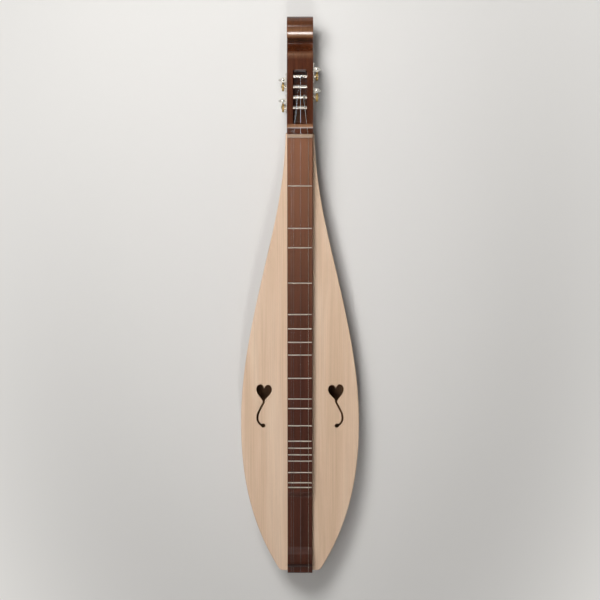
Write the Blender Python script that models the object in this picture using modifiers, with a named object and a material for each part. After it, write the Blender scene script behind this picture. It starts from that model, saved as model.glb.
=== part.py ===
"""Mountain dulcimer: a teardrop sound box with heart sound holes, a fretted board and worm-geared tuners.

Metres, +Z up. It lies on its flat back with the scroll head towards +Y and the bass string at +X.
The origin is under the middle of its length, on the surface that it rests on.
"Along" is measured from the nut's front face: positive towards the tail, negative towards the scroll.
"""

import math

import bmesh
import bpy
import numpy as np
from mathutils import Matrix, Vector

# Clearances
FIT_GAP = 0.0003
FRET_GAP = 0.00012
TURN_GAP = 0.0004
# How far a cutter runs past the faces that it cuts through
CUT_OVERRUN = 0.002

# Scale
SCALE_LENGTH = 0.686
SEMITONES_AT_FRETS = (2, 4, 5, 7, 9, 10, 11, 12, 14, 16, 17, 19, 21, 22, 23, 24, 26, 28, 29)

# Sound box
HEAD_REACH = 0.188
TAIL_MARGIN = 0.013
BODY_START = -0.006
NECK_HALF_WIDTH = 0.0225
NECK_SLOPE = 0.03
FLARE_AT = 0.145
FLARE_HALF_WIDTH = 0.0425
FLARE_SLOPE = 0.225
WIDEST_FROM_TAIL = 0.243
WIDEST_HALF_WIDTH = 0.0948
TAIL_HALF_WIDTH = 0.0325
TAIL_SLOPE = -0.62
PLATE_THICKNESS = 0.003
PLATE_OVERHANG = 0.002
PLATE_ROUNDING = 0.0008
SIDE_HEIGHT = 0.045
SIDE_THICKNESS = 0.0025
TAIL_BLOCK_LENGTH = 0.040
HEEL_LENGTH = 0.038
OUTLINE_STEPS = 40

# Sound holes: a heart whose stem curls inwards to a small round end
HEART_WIDTH = 0.0250
HEART_HEIGHT = 0.0300
HEART_FROM_TAIL = 0.2905
HEART_OFFSET = 0.0580
HEART_TURN = math.radians(4)
STEM_WIDTH = 0.0032
STEM_END_RADIUS = 0.0036
# The stem's points from the heart's centre, as (outwards, towards the head)
STEM_ROUTE = ((0.0, -0.0135), (0.0045, -0.0225), (0.0094, -0.0330), (0.0100, -0.0425),
              (0.0062, -0.0495), (0.0012, -0.0520))

# Braces
BRACE_WIDTH = 0.008
BRACE_HEIGHT = 0.009
BRACE_CHAMFER = 0.0016
TOP_BRACES_FROM_HEART = (-0.1185, 0.1515)
BACK_BRACE_COUNT = 3

# Fretboard
BOARD_WIDTH = 0.040
BOARD_HEIGHT = 0.017
BOARD_END_ROUNDING = 0.0025
BOARD_ROUNDING = 0.0012
CHANNEL_WIDTH = 0.020
CHANNEL_HEIGHT = 0.006
CHANNEL_START = 0.030
CHANNEL_BEFORE_STRUM = 0.019
STRUM_AFTER_LAST_FRET = 0.0065
STRUM_BEFORE_BRIDGE = 0.0170
STRUM_DEPTH = 0.0070
STRUM_RAMP = 0.0130
FRET_CROWN_WIDTH = 0.0020
FRET_CROWN_HEIGHT = 0.0010
FRET_TANG_WIDTH = 0.0006
FRET_TANG_DEPTH = 0.0016
FRET_INSET = 0.0008
NUT_THICKNESS = 0.0055
NUT_SEAT_DEPTH = 0.0040
NUT_ABOVE_BOARD = 0.0024
NUT_SLOPE = math.radians(25)
NUT_CREST = 0.0012
NUT_CHAMFER = 0.0003
BRIDGE_THICKNESS = 0.0040
BRIDGE_SEAT_DEPTH = 0.0030
BRIDGE_ABOVE_BOARD = 0.0052
BRIDGE_CREST = 0.0018
BRIDGE_CHAMFER = 0.0004
BRIDGE_FOOT_HEIGHT = 0.0010

# Head: pegbox, throat and scroll
HEAD_WIDTH = 0.041
HEAD_ROUNDING = 0.0008
HEAD_FOOT = 0.0015
HEEL_OVERLAP = 0.006
LEDGE_END = 0.0150
LEDGE_DROP = 0.0040
LIP_BELOW_STRINGS = 0.0015
FLAT_ABOVE_POSTS = 0.0090
CHIN_END = 0.0440
FLOOR_THICKNESS = 0.0080
SLOT_START = 0.0215
SLOT_LENGTH = 0.0835
SLOT_WIDTH = 0.0215
SLOT_BELOW_POSTS = 0.0140
SLOT_ROUNDING = 0.0020
FLAT_END = 0.1290
THROAT_ABOVE_FLOOR = 0.0035
THROAT_LENGTH = 0.0065
THROAT_ROUNDING = 0.0006
SCROLL_RADIUS = 0.0200
SCROLL_BELOW_POSTS = 0.0040
SCROLL_SHRINK = 0.040
SCROLL_END = math.radians(195)
GROOVE_RADIUS = 0.0011
GROOVE_START = math.radians(198)
GROOVE_TURNS = 1.35
GROOVE_EYE_RADIUS = 0.0040

# Tuners
POST_COUNT = 4
FIRST_POST = 0.0470
POST_PITCH = 0.0163
POST_HEIGHT = 0.0510
POST_RADIUS = 0.0030
POST_SEAT_DEPTH = 0.0060
PLATE_METAL = 0.0012
PLATE_FORWARD = 0.0210
PLATE_BACKWARD = 0.0090
PLATE_HALF_HEIGHT = 0.0088
PLATE_CORNER = 0.0030
GEAR_TEETH = 15
GEAR_MODULE = 0.00092
GEAR_WIDTH = 0.0034
GEAR_OFFSET = 0.0062
BACKLASH = 0.00036
FLANK_ANGLE = math.radians(20)
WORM_PITCH_RADIUS = 0.0031
WORM_LENGTH = 0.0082
WORM_SIDES = 14
WORM_RINGS_PER_TURN = 8
SHAFT_RADIUS = 0.0019
LUG_THICKNESS = 0.0014
LUG_HALF_WIDTH = 0.0038
SHAFT_ABOVE_LUG = 0.0016
SPIGOT_RADIUS = 0.0017
SCREW_HEAD_RADIUS = 0.0030
SCREW_HEAD_HEIGHT = 0.0012
BUTTON_HALF_WIDTH = 0.0080
BUTTON_HALF_THICKNESS = 0.0033
BUTTON_HEIGHT = 0.0150
BUTTON_NECK = 0.0015
BUTTON_CLEARANCE = 0.0035

# Strings, from the melody side to the bass side
STRING_RADII = (0.00015, 0.00015, 0.00020, 0.00030)
STRINGS_AT_NUT = (-0.0135, -0.0100, 0.0010, 0.0130)
STRINGS_AT_BRIDGE = (-0.0140, -0.0105, 0.0010, 0.0135)
HITCH_PINS_AT = (-0.0170, -0.0095, 0.0010, 0.0135)
STRING_POSTS = (0, 2, 3, 1)
STRINGS_AT_POST = (-0.0065, -0.0025, 0.0010, 0.0055)
STRING_SINK = 0.0002
WINDING_LOOPS = 3
WINDING_SPACE = 0.00055
LOOP_POINTS = 24
PIN_RADIUS = 0.0012
PIN_HEAD_RADIUS = 0.0021
PIN_REACH = 0.0036
PIN_HEAD_THICKNESS = 0.0010
PIN_DEPTH = 0.0140
PIN_HEIGHT = 0.0400
HOOK_TAIL = 0.0065

# Values worked out from the above
BODY_END = SCALE_LENGTH + TAIL_MARGIN
NUT_Y = (BODY_END + PIN_REACH + HEAD_REACH) / 2 - HEAD_REACH
WIDEST_AT = BODY_END - WIDEST_FROM_TAIL
HEART_ALONG = BODY_END - HEART_FROM_TAIL
LAST_FRET_AT = SCALE_LENGTH * (1 - 2 ** (-SEMITONES_AT_FRETS[-1] / 12))
STRUM_START = LAST_FRET_AT + STRUM_AFTER_LAST_FRET
STRUM_END = SCALE_LENGTH - STRUM_BEFORE_BRIDGE
CHANNEL_END = STRUM_START - CHANNEL_BEFORE_STRUM
SIDE_BOTTOM = PLATE_THICKNESS + FIT_GAP
SIDE_TOP = SIDE_BOTTOM + SIDE_HEIGHT
TOP_BOTTOM = SIDE_TOP + FIT_GAP
TOP_TOP = TOP_BOTTOM + PLATE_THICKNESS
BOARD_BOTTOM = TOP_TOP + FIT_GAP
BOARD_TOP = BOARD_BOTTOM + BOARD_HEIGHT
STRING_AT_NUT_HEIGHT = BOARD_TOP + NUT_ABOVE_BOARD - STRING_SINK
STRING_AT_BRIDGE_HEIGHT = BOARD_TOP + BRIDGE_ABOVE_BOARD - STRING_SINK
SLOT_FLOOR = POST_HEIGHT - SLOT_BELOW_POSTS
HEAD_UNDERSIDE = SLOT_FLOOR - FLOOR_THICKNESS
THROAT_BOTTOM = SLOT_FLOOR + THROAT_ABOVE_FLOOR
FLAT_TOP = POST_HEIGHT + FLAT_ABOVE_POSTS
CHEEK_X = HEAD_WIDTH / 2
METAL_X = CHEEK_X + FIT_GAP
GEAR_X = METAL_X + PLATE_METAL + GEAR_OFFSET - GEAR_WIDTH / 2
GEAR_PITCH_RADIUS = GEAR_MODULE * GEAR_TEETH / 2
THREAD_PITCH = math.pi * GEAR_MODULE
WORM_DISTANCE = GEAR_PITCH_RADIUS + WORM_PITCH_RADIUS
ADDENDUM = 0.8 * GEAR_MODULE
DEDENDUM = 1.2 * GEAR_MODULE


def y_at(along):
    return NUT_Y - along


def new_material(name, colour, roughness, metallic=0.0):
    material = bpy.data.materials.new(name)
    material.use_nodes = True
    shader = material.node_tree.nodes["Principled BSDF"]
    shader.inputs["Base Color"].default_value = (*colour, 1.0)
    shader.inputs["Roughness"].default_value = roughness
    shader.inputs["Metallic"].default_value = metallic
    material.diffuse_color = (*colour, 1.0)
    return material


def clear_scene():
    for obj in list(bpy.data.objects):
        bpy.data.objects.remove(obj, do_unlink=True)


def add_collection(name, hidden=False):
    collection = bpy.data.collections.new(name)
    bpy.context.scene.collection.children.link(collection)
    collection.hide_render = hidden
    return collection


def move_to(obj, collection):
    for other in list(obj.users_collection):
        other.objects.unlink(obj)
    collection.objects.link(obj)


def object_from_mesh(name, mesh, material, collection):
    obj = bpy.data.objects.new(name, mesh)
    collection.objects.link(obj)
    mesh.materials.clear()
    mesh.materials.append(material)
    return obj


def mesh_from_curve(curve, name):
    """The curve's evaluated mesh with its caps welded; the curve itself is removed."""
    graph = bpy.context.evaluated_depsgraph_get()
    graph.update()
    mesh = bpy.data.meshes.new_from_object(curve.evaluated_get(graph))
    mesh.transform(curve.matrix_world)
    mesh.name = name
    work = bmesh.new()
    work.from_mesh(mesh)
    bmesh.ops.remove_doubles(work, verts=work.verts, dist=0.000002)
    bmesh.ops.recalc_face_normals(work, faces=work.faces)
    work.to_mesh(mesh)
    work.free()
    bpy.data.objects.remove(curve, do_unlink=True)
    return mesh


def flat_outline(name, loops, low, high, turn=None):
    """A flat curve through the outside loop and any holes' loops, filled and extruded from low to high."""
    data = bpy.data.curves.new(name, "CURVE")
    data.dimensions = "2D"
    data.fill_mode = "BOTH"
    data.extrude = (high - low) / 2
    for loop in loops:
        spline = data.splines.new("POLY")
        spline.points.add(len(loop) - 1)
        for point, (a, b) in zip(spline.points, loop):
            point.co = (a, b, 0.0, 1.0)
        spline.use_cyclic_u = True
    obj = bpy.data.objects.new(name, data)
    bpy.context.scene.collection.objects.link(obj)
    place = Matrix.Translation((0.0, 0.0, (low + high) / 2))
    obj.matrix_world = (turn @ place) if turn else place
    bpy.context.view_layer.update()
    return mesh_from_curve(obj, name)


# A profile drawn as (Y, Z) and extruded along X
ACROSS = Matrix(((0, 0, 1, 0), (1, 0, 0, 0), (0, 1, 0, 0), (0, 0, 0, 1)))


def box(name, low, high, collection, material):
    bpy.ops.mesh.primitive_cube_add(size=1.0)
    obj = bpy.context.object
    obj.name = name
    low, high = Vector(low), Vector(high)
    obj.data.transform(Matrix.Translation((low + high) / 2) @ Matrix.Diagonal((*(high - low), 1.0)))
    obj.data.materials.append(material)
    move_to(obj, collection)
    return obj


def rod(name, start, end, radius, collection, material, sides=20):
    start, end = Vector(start), Vector(end)
    bpy.ops.mesh.primitive_cylinder_add(vertices=sides, radius=radius, depth=(end - start).length)
    obj = bpy.context.object
    obj.name = name
    turn = (end - start).to_track_quat("Z", "Y").to_matrix().to_4x4()
    obj.data.transform(Matrix.Translation((start + end) / 2) @ turn)
    obj.data.materials.append(material)
    move_to(obj, collection)
    return obj


def as_cutter(obj):
    obj.hide_render = True
    obj.display_type = "WIRE"
    return obj


def boolean(target, other, operation="DIFFERENCE"):
    modifier = target.modifiers.new(f"{operation.lower()} {other.name}", "BOOLEAN")
    modifier.operation = operation
    modifier.solver = "EXACT"
    modifier.object = other
    as_cutter(other)


def soften(obj, width, segments=2, angle=50):
    modifier = obj.modifiers.new("rounded edges", "BEVEL")
    modifier.width = width
    modifier.segments = segments
    modifier.limit_method = "ANGLE"
    modifier.angle_limit = math.radians(angle)


def shade_round(obj, angle=40):
    obj.data.shade_smooth()
    obj.data.set_sharp_from_angle(angle=math.radians(angle))
    return obj


def hermite(along, start, end):
    """A cubic from one station to the next; a station is (along, half width, slope)."""
    span = end[0] - start[0]
    q = (along - start[0]) / span
    value = ((2 * q**3 - 3 * q**2 + 1) * start[1] + (q**3 - 2 * q**2 + q) * span * start[2]
             + (3 * q**2 - 2 * q**3) * end[1] + (q**3 - q**2) * span * end[2])
    slope = ((6 * q**2 - 6 * q) * (start[1] - end[1]) / span
             + (3 * q**2 - 4 * q + 1) * start[2] + (3 * q**2 - 2 * q) * end[2])
    return value, slope


def half_width(along, inset=0.0):
    """Half the teardrop's width at a distance from the nut, with the outline moved in by the inset."""
    stations = (
        (BODY_START, NECK_HALF_WIDTH, NECK_SLOPE),
        (FLARE_AT, FLARE_HALF_WIDTH, FLARE_SLOPE),
        (WIDEST_AT, WIDEST_HALF_WIDTH, 0.0),
        (BODY_END, TAIL_HALF_WIDTH, TAIL_SLOPE),
    )
    for start, end in zip(stations, stations[1:]):
        if along <= end[0] or end is stations[-1]:
            value, slope = hermite(along, start, end)
            return value - inset * math.sqrt(1 + slope * slope)


def edge_line(start, end, inset, side, steps=OUTLINE_STEPS):
    """Points (x, y) down one edge of the teardrop, evenly spaced along the centre line."""
    return [(side * half_width(a, inset), y_at(a)) for a in np.linspace(start, end, steps)]


def heart_loop(side, steps=40):
    """The heart, point towards the tail: x from the cube of a sine, the lobes from a sum of cosines."""
    t = np.linspace(0.0, 2 * math.pi, steps, endpoint=False)
    x = np.sin(t) ** 3
    y = 13 * np.cos(t) - 5 * np.cos(2 * t) - 2 * np.cos(3 * t) - np.cos(4 * t)
    x, y = x * HEART_WIDTH / 2, (y - (y.max() + y.min()) / 2) / np.ptp(y) * HEART_HEIGHT
    c, s = math.cos(side * HEART_TURN), math.sin(side * HEART_TURN)
    centre_x, centre_y = side * HEART_OFFSET, y_at(HEART_ALONG)
    return [(centre_x + c * a - s * b, centre_y + s * a + c * b) for a, b in zip(x, y)]


def stem_route(side):
    """The stem leaves the heart's point, bows outwards and curls back in to its round end."""
    return [Vector((side * (HEART_OFFSET + a), y_at(HEART_ALONG) + b, 0.0)) for a, b in STEM_ROUTE]


def smooth_route(points, per_span):
    """A curve through the points: each span a cubic whose end slopes come from the points on either side."""
    points = [Vector(p) for p in points]
    ends = [2 * points[0] - points[1], *points, 2 * points[-1] - points[-2]]
    route = []
    for p0, p1, p2, p3 in zip(ends, ends[1:], ends[2:], ends[3:]):
        for q in np.linspace(0.0, 1.0, per_span, endpoint=False):
            route.append(0.5 * (2 * p1 + (p2 - p0) * q + (2 * p0 - 5 * p1 + 4 * p2 - p3) * q * q
                                + (3 * p1 - p0 - 3 * p2 + p3) * q**3))
    return [*route, points[-1]]


def band_loop(route, width):
    """The outline of a flat band of one width along a route, square at its start and round at its end."""
    left, right = [], []
    for i, point in enumerate(route):
        along = (route[min(i + 1, len(route) - 1)] - route[max(i - 1, 0)]).normalized()
        across = Vector((-along.y, along.x, 0.0)) * width / 2
        left.append(point + across)
        right.append(point - across)
    return [(p.x, p.y) for p in left + right[::-1]]


def circle_loop(x, y, radius, steps=20):
    return [(x + radius * math.cos(2 * math.pi * i / steps), y + radius * math.sin(2 * math.pi * i / steps))
            for i in range(steps)]


def sound_hole_cutters(side, collection, material, name):
    low, high = TOP_BOTTOM - CUT_OVERRUN, TOP_TOP + CUT_OVERRUN
    route = smooth_route(stem_route(side), 3)
    end = route[-1]
    loops = (("heart", heart_loop(side)), ("stem", band_loop(route, STEM_WIDTH)),
             ("stem end", circle_loop(end.x, end.y, STEM_END_RADIUS)))
    cutters = []
    for part, loop in loops:
        mesh = flat_outline(part, [loop], low, high)
        cutters.append(object_from_mesh(f"{part} cutter {name}", mesh, material, collection))
    return cutters


def add_plates(collection, wood):
    """The back in one piece, and the soundboard in two halves that meet under the fretboard."""
    right = edge_line(BODY_START, BODY_END, 0.0, 1)
    left = edge_line(BODY_START, BODY_END, 0.0, -1)
    back = object_from_mesh("back", flat_outline("back", [right + left[::-1]], 0.0, PLATE_THICKNESS),
                            wood["back"], collection)
    soften(back, PLATE_ROUNDING, 1)
    for side, name in ((1, "soundboard_bass"), (-1, "soundboard_treble")):
        seam = [(side * FIT_GAP / 2, y_at(BODY_END)), (side * FIT_GAP / 2, y_at(BODY_START))]
        loop = edge_line(BODY_START, BODY_END, 0.0, side) + seam
        mesh = flat_outline(name, [loop], TOP_BOTTOM, TOP_TOP)
        half = object_from_mesh(name, mesh, wood["top"], collection)
        soften(half, PLATE_ROUNDING, 1)
        for cutter in sound_hole_cutters(side, wood["cutters"], wood["top"], name):
            boolean(half, cutter)


def add_sides(collection, wood):
    for side, name in ((1, "side_bass"), (-1, "side_treble")):
        outer = edge_line(BODY_START, BODY_END, PLATE_OVERHANG, side)
        inner = edge_line(BODY_START, BODY_END, PLATE_OVERHANG + SIDE_THICKNESS, side)
        object_from_mesh(name, flat_outline(name, [outer + inner[::-1]], SIDE_BOTTOM, SIDE_TOP),
                         wood["side"], collection)


def inner_half_width(along):
    return half_width(along, PLATE_OVERHANG + SIDE_THICKNESS + FIT_GAP)


def add_tail_block(collection, wood):
    steps = np.linspace(BODY_END - TAIL_BLOCK_LENGTH, BODY_END, 8)
    right = [(inner_half_width(a), y_at(a)) for a in steps]
    left = [(-x, y) for x, y in right[::-1]]
    block = object_from_mesh("tail_block", flat_outline("tail_block", [right + left], SIDE_BOTTOM, SIDE_TOP),
                             wood["block"], collection)
    for i, x in enumerate(HITCH_PINS_AT):
        start = (x, y_at(BODY_END) - CUT_OVERRUN, PIN_HEIGHT)
        end = (x, y_at(BODY_END) + PIN_DEPTH + FIT_GAP, PIN_HEIGHT)
        boolean(block, rod(f"pin hole cutter {i + 1}", start, end, PIN_RADIUS + FIT_GAP,
                           wood["cutters"], wood["block"], 12))


def add_braces(collection, wood):
    """Bars across the inside: two under the soundboard, clear of its holes, and three along the back."""
    under_top = [HEART_ALONG + a for a in TOP_BRACES_FROM_HEART]
    on_back = np.linspace(HEEL_LENGTH, BODY_END - TAIL_BLOCK_LENGTH, BACK_BRACE_COUNT + 2)[1:-1]
    rows = (("top_brace", under_top, TOP_BOTTOM - FIT_GAP - BRACE_HEIGHT),
            ("back_brace", on_back, PLATE_THICKNESS + FIT_GAP))
    for name, places, low in rows:
        for number, along in enumerate(places):
            head_edge, tail_edge = along - BRACE_WIDTH / 2, along + BRACE_WIDTH / 2
            reach = min(inner_half_width(head_edge), inner_half_width(tail_edge))
            brace = box(f"{name}_{number + 1}", (-reach, y_at(tail_edge), low),
                        (reach, y_at(head_edge), low + BRACE_HEIGHT), collection, wood["brace"])
            soften(brace, BRACE_CHAMFER, 1)


def half_cosine(start, end, steps=7):
    """Points of a smooth step from start to end, level at both."""
    share = np.linspace(0.0, 1.0, steps)
    return [(start[0] + (end[0] - start[0]) * q,
             start[1] + (end[1] - start[1]) * (1 - math.cos(math.pi * q)) / 2) for q in share]


def fret_along(semitones):
    """Equal temperament: each semitone shortens the string by the twelfth root of two."""
    return SCALE_LENGTH * (1 - 2 ** (-semitones / 12))


def arc(centre_a, centre_b, radius, start, end, steps):
    return [(centre_a + radius * math.cos(t), centre_b + radius * math.sin(t))
            for t in np.linspace(start, end, steps)]


def fretboard_profile():
    """The board from the side: nut seat, fret slots, strum hollow, bridge seat and rounded tail edge."""
    line = [(BODY_START, BOARD_BOTTOM), (BODY_START, BOARD_TOP - NUT_SEAT_DEPTH),
            (FIT_GAP, BOARD_TOP - NUT_SEAT_DEPTH), (FIT_GAP, BOARD_TOP)]
    slot_half, slot_bottom = FRET_TANG_WIDTH / 2 + FRET_GAP, BOARD_TOP - FRET_TANG_DEPTH - FRET_GAP
    for semitones in SEMITONES_AT_FRETS:
        a = fret_along(semitones)
        line += [(a - slot_half, BOARD_TOP), (a - slot_half, slot_bottom),
                 (a + slot_half, slot_bottom), (a + slot_half, BOARD_TOP)]
    floor = BOARD_TOP - STRUM_DEPTH
    line += half_cosine((STRUM_START, BOARD_TOP), (STRUM_START + STRUM_RAMP, floor))
    line += half_cosine((STRUM_END - STRUM_RAMP, floor), (STRUM_END, BOARD_TOP))
    seat_half, seat_floor = BRIDGE_THICKNESS / 2 + FIT_GAP, BOARD_TOP - BRIDGE_SEAT_DEPTH - FIT_GAP
    line += [(SCALE_LENGTH - seat_half, BOARD_TOP), (SCALE_LENGTH - seat_half, seat_floor),
             (SCALE_LENGTH + seat_half, seat_floor), (SCALE_LENGTH + seat_half, BOARD_TOP)]
    line += arc(BODY_END - BOARD_END_ROUNDING, BOARD_TOP - BOARD_END_ROUNDING, BOARD_END_ROUNDING,
                math.pi / 2, 0.0, 5)
    line.append((BODY_END, BOARD_BOTTOM))
    return [(y_at(a), z) for a, z in line]


def add_fretboard(collection, wood):
    half = BOARD_WIDTH / 2
    mesh = flat_outline("fretboard", [fretboard_profile()], -half, half, ACROSS)
    board = object_from_mesh("fretboard", mesh, wood["board"], collection)
    bar = box("fretboard bar cutter", (-half, y_at(BODY_END) - CUT_OVERRUN, BOARD_BOTTOM - CUT_OVERRUN),
              (half, y_at(BODY_START) + CUT_OVERRUN, BOARD_TOP), wood["cutters"], wood["board"])
    soften(bar, BOARD_ROUNDING)
    boolean(board, bar, "INTERSECT")
    channel = box("channel cutter", (-CHANNEL_WIDTH / 2, y_at(CHANNEL_END), BOARD_BOTTOM - CUT_OVERRUN),
                  (CHANNEL_WIDTH / 2, y_at(CHANNEL_START), BOARD_BOTTOM + CHANNEL_HEIGHT),
                  wood["cutters"], wood["board"])
    boolean(board, channel)


def add_frets(collection, metal):
    """Each fret is a round-topped wire with a tang that sits in the board's slot."""
    crown_bottom = BOARD_TOP + FRET_GAP
    half = BOARD_WIDTH / 2 - FRET_INSET
    tang_bottom = BOARD_TOP - FRET_TANG_DEPTH
    for number, semitones in enumerate(SEMITONES_AT_FRETS):
        a = fret_along(semitones)
        crown = [(a - math.cos(t) * FRET_CROWN_WIDTH / 2, crown_bottom + math.sin(t) * FRET_CROWN_HEIGHT)
                 for t in np.linspace(0.0, math.pi, 7)]
        tang = [(a + FRET_TANG_WIDTH / 2, crown_bottom), (a + FRET_TANG_WIDTH / 2, tang_bottom),
                (a - FRET_TANG_WIDTH / 2, tang_bottom), (a - FRET_TANG_WIDTH / 2, crown_bottom)]
        profile = [(y_at(along), z) for along, z in crown + tang]
        name = f"fret_{number + 1:02d}"
        mesh = flat_outline(name, [profile], -half, half, ACROSS)
        shade_round(object_from_mesh(name, mesh, metal["nickel"], collection))


def add_nut_and_bridge(collection, wood):
    """Both stand in seats across the board, and each string lies in a round notch in their crests."""
    top, low = BOARD_TOP + NUT_ABOVE_BOARD, BOARD_TOP - NUT_SEAT_DEPTH + FIT_GAP
    back_top = top - (NUT_THICKNESS - NUT_CREST) * math.tan(NUT_SLOPE)
    profile = [(0.0, low), (0.0, top - NUT_CHAMFER), (-NUT_CHAMFER, top), (-NUT_CREST, top),
               (-NUT_THICKNESS, back_top), (-NUT_THICKNESS, low)]
    profile = [(y_at(a), z) for a, z in profile]
    half = BOARD_WIDTH / 2 - FIT_GAP
    mesh = flat_outline("nut", [profile], -half, half, ACROSS)
    nut = object_from_mesh("nut", mesh, wood["nut"], collection)
    for i, radius in enumerate(STRING_RADII):
        crest_end, first_touch = falling_stretch(i)
        front = crest_end - Vector((0.0, NUT_CREST / 2 + CUT_OVERRUN, 0.0))
        back = crest_end + (first_touch - crest_end).normalized() * (NUT_THICKNESS + CUT_OVERRUN)
        boolean(nut, tube(f"nut notch cutter {i + 1}", [front, crest_end, back], radius + FIT_GAP,
                          wood["nut"], wood["cutters"], 2))
    top, low = BOARD_TOP + BRIDGE_ABOVE_BOARD, BOARD_TOP - BRIDGE_SEAT_DEPTH
    foot, crest, foot_top = BRIDGE_THICKNESS / 2, BRIDGE_CREST / 2, BOARD_TOP + BRIDGE_FOOT_HEIGHT
    profile = [(-foot, low), (-foot, foot_top), (-crest, top - BRIDGE_CHAMFER), (-crest / 2, top),
               (crest / 2, top), (crest, top - BRIDGE_CHAMFER), (foot, foot_top), (foot, low)]
    profile = [(y_at(SCALE_LENGTH + a), z) for a, z in profile]
    bridge = object_from_mesh("bridge", flat_outline("bridge", [profile], -half, half, ACROSS),
                              wood["bridge"], collection)
    reach = foot + CUT_OVERRUN
    for i, (x, radius) in enumerate(zip(STRINGS_AT_BRIDGE, STRING_RADII)):
        boolean(bridge, rod(f"bridge notch cutter {i + 1}",
                            (x, y_at(SCALE_LENGTH + reach), STRING_AT_BRIDGE_HEIGHT),
                            (x, y_at(SCALE_LENGTH - reach), STRING_AT_BRIDGE_HEIGHT), radius + FIT_GAP,
                            wood["cutters"], wood["bridge"], 12))


def scroll_radius(angle):
    """The scroll's rim draws in at a steady rate from its underside, where the angle is -90 degrees."""
    return SCROLL_RADIUS * math.exp(-SCROLL_SHRINK * (angle + math.pi / 2))


def scroll_centre():
    return HEAD_REACH - scroll_radius(0.0), POST_HEIGHT - SCROLL_BELOW_POSTS


def lip_top():
    """The wall in front of the slot stays a little below the lowest string that falls past it."""
    heights = []
    for number in range(len(STRING_RADII)):
        start, end = falling_stretch(number)
        share = (y_at(-SLOT_START) - start.y) / (end.y - start.y)
        heights.append(start.z + (end.z - start.z) * share)
    return min(heights) - LIP_BELOW_STRINGS


def head_profile():
    """The head from the side: chin, scroll, throat, sloping top, lip and ledge. The chin follows a sine."""
    start = FIT_GAP - BODY_START
    rise = HEAD_UNDERSIDE - HEAD_FOOT
    line = [(start + (CHIN_END - start) * q, HEAD_FOOT + rise * math.sin(math.pi / 2 * q))
            for q in np.linspace(0, 1, 9)]
    centre_a, centre_z = scroll_centre()
    line += [(centre_a + scroll_radius(t) * math.cos(t), centre_z + scroll_radius(t) * math.sin(t))
             for t in np.linspace(-math.pi / 2, SCROLL_END, 34)]
    scroll_front = line[-1][0]
    line.append((scroll_front - 3 * THROAT_ROUNDING, THROAT_BOTTOM + THROAT_ROUNDING))
    line += half_cosine((scroll_front - THROAT_LENGTH, THROAT_BOTTOM), (FLAT_END, FLAT_TOP), 9)
    top = lip_top()
    line += [(LEDGE_END, top), (LEDGE_END, top - LEDGE_DROP), (start, top - LEDGE_DROP)]
    return [(y_at(-a), z) for a, z in line]


def volute_groove(side, wood):
    """A round groove in the cheek that winds inwards from the throat's line to the eye by a steady step."""
    turns = np.linspace(0.0, 1.0, 26)
    centre_a, centre_z = scroll_centre()
    outer = scroll_radius(GROOVE_START)
    radii = outer + (GROOVE_EYE_RADIUS - outer) * turns
    angles = GROOVE_START + 2 * math.pi * GROOVE_TURNS * turns
    points = [(side * CHEEK_X, y_at(-centre_a - r * math.cos(t)), centre_z + r * math.sin(t))
              for r, t in zip(radii, angles)]
    return tube(f"volute cutter {side}", points, GROOVE_RADIUS, wood["head"], wood["cutters"], 2)


def tube(name, points, radius, material, collection, resolution=1):
    data = bpy.data.curves.new(name, "CURVE")
    data.dimensions = "3D"
    data.bevel_depth = radius
    data.bevel_resolution = resolution
    data.use_fill_caps = True
    spline = data.splines.new("POLY")
    spline.points.add(len(points) - 1)
    for point, place in zip(spline.points, points):
        point.co = (*place, 1.0)
    obj = bpy.data.objects.new(name, data)
    bpy.context.scene.collection.objects.link(obj)
    bpy.context.view_layer.update()
    return shade_round(object_from_mesh(name, mesh_from_curve(obj, name), material, collection))


def post_side(number):
    """The posts' gears alternate between the treble side (-1) and the bass side (1)."""
    return -1 if number % 2 == 0 else 1


def post_along(number):
    return FIRST_POST + number * POST_PITCH


def add_head(collection, wood):
    half = HEAD_WIDTH / 2
    head = object_from_mesh("head", flat_outline("head", [head_profile()], -half, half, ACROSS),
                            wood["head"], collection)
    soften(shade_round(head), HEAD_ROUNDING, 1, 60)
    heel_half = inner_half_width(BODY_START) - FIT_GAP
    heel = box("heel", (-heel_half, y_at(HEEL_LENGTH), SIDE_BOTTOM),
               (heel_half, y_at(BODY_START) + HEEL_OVERLAP, SIDE_TOP), wood["cutters"], wood["head"])
    boolean(head, heel, "UNION")
    slot_top = BOARD_TOP + NUT_ABOVE_BOARD
    slot = box("pegbox slot cutter", (-SLOT_WIDTH / 2, y_at(-SLOT_START), SLOT_FLOOR),
               (SLOT_WIDTH / 2, y_at(-SLOT_START - SLOT_LENGTH), slot_top), wood["cutters"], wood["head"])
    soften(slot, SLOT_ROUNDING, 2)
    boolean(head, slot)
    for number in range(POST_COUNT):
        side, y = post_side(number), y_at(-post_along(number))
        start = (side * (half + CUT_OVERRUN), y, POST_HEIGHT)
        end = (-side * (SLOT_WIDTH / 2 + POST_SEAT_DEPTH + FIT_GAP), y, POST_HEIGHT)
        boolean(head, rod(f"post bore cutter {number + 1}", start, end, POST_RADIUS + TURN_GAP,
                          wood["cutters"], wood["head"], 16))
    for side in (1, -1):
        boolean(head, volute_groove(side, wood))


def turned(name, profile, material, collection, steps=18):
    """A profile of (radius, height) points, from the top down, turned about Z."""
    mesh = bpy.data.meshes.new(name)
    mesh.from_pydata([(r, 0.0, z) for r, z in profile], [(i, i + 1) for i in range(len(profile) - 1)], [])
    obj = object_from_mesh(name, mesh, material, collection)
    screw = obj.modifiers.new("turned", "SCREW")
    screw.steps = screw.render_steps = steps
    screw.use_merge_vertices = True
    screw.merge_threshold = 0.00001
    screw.use_smooth_shade = True
    return obj


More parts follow.
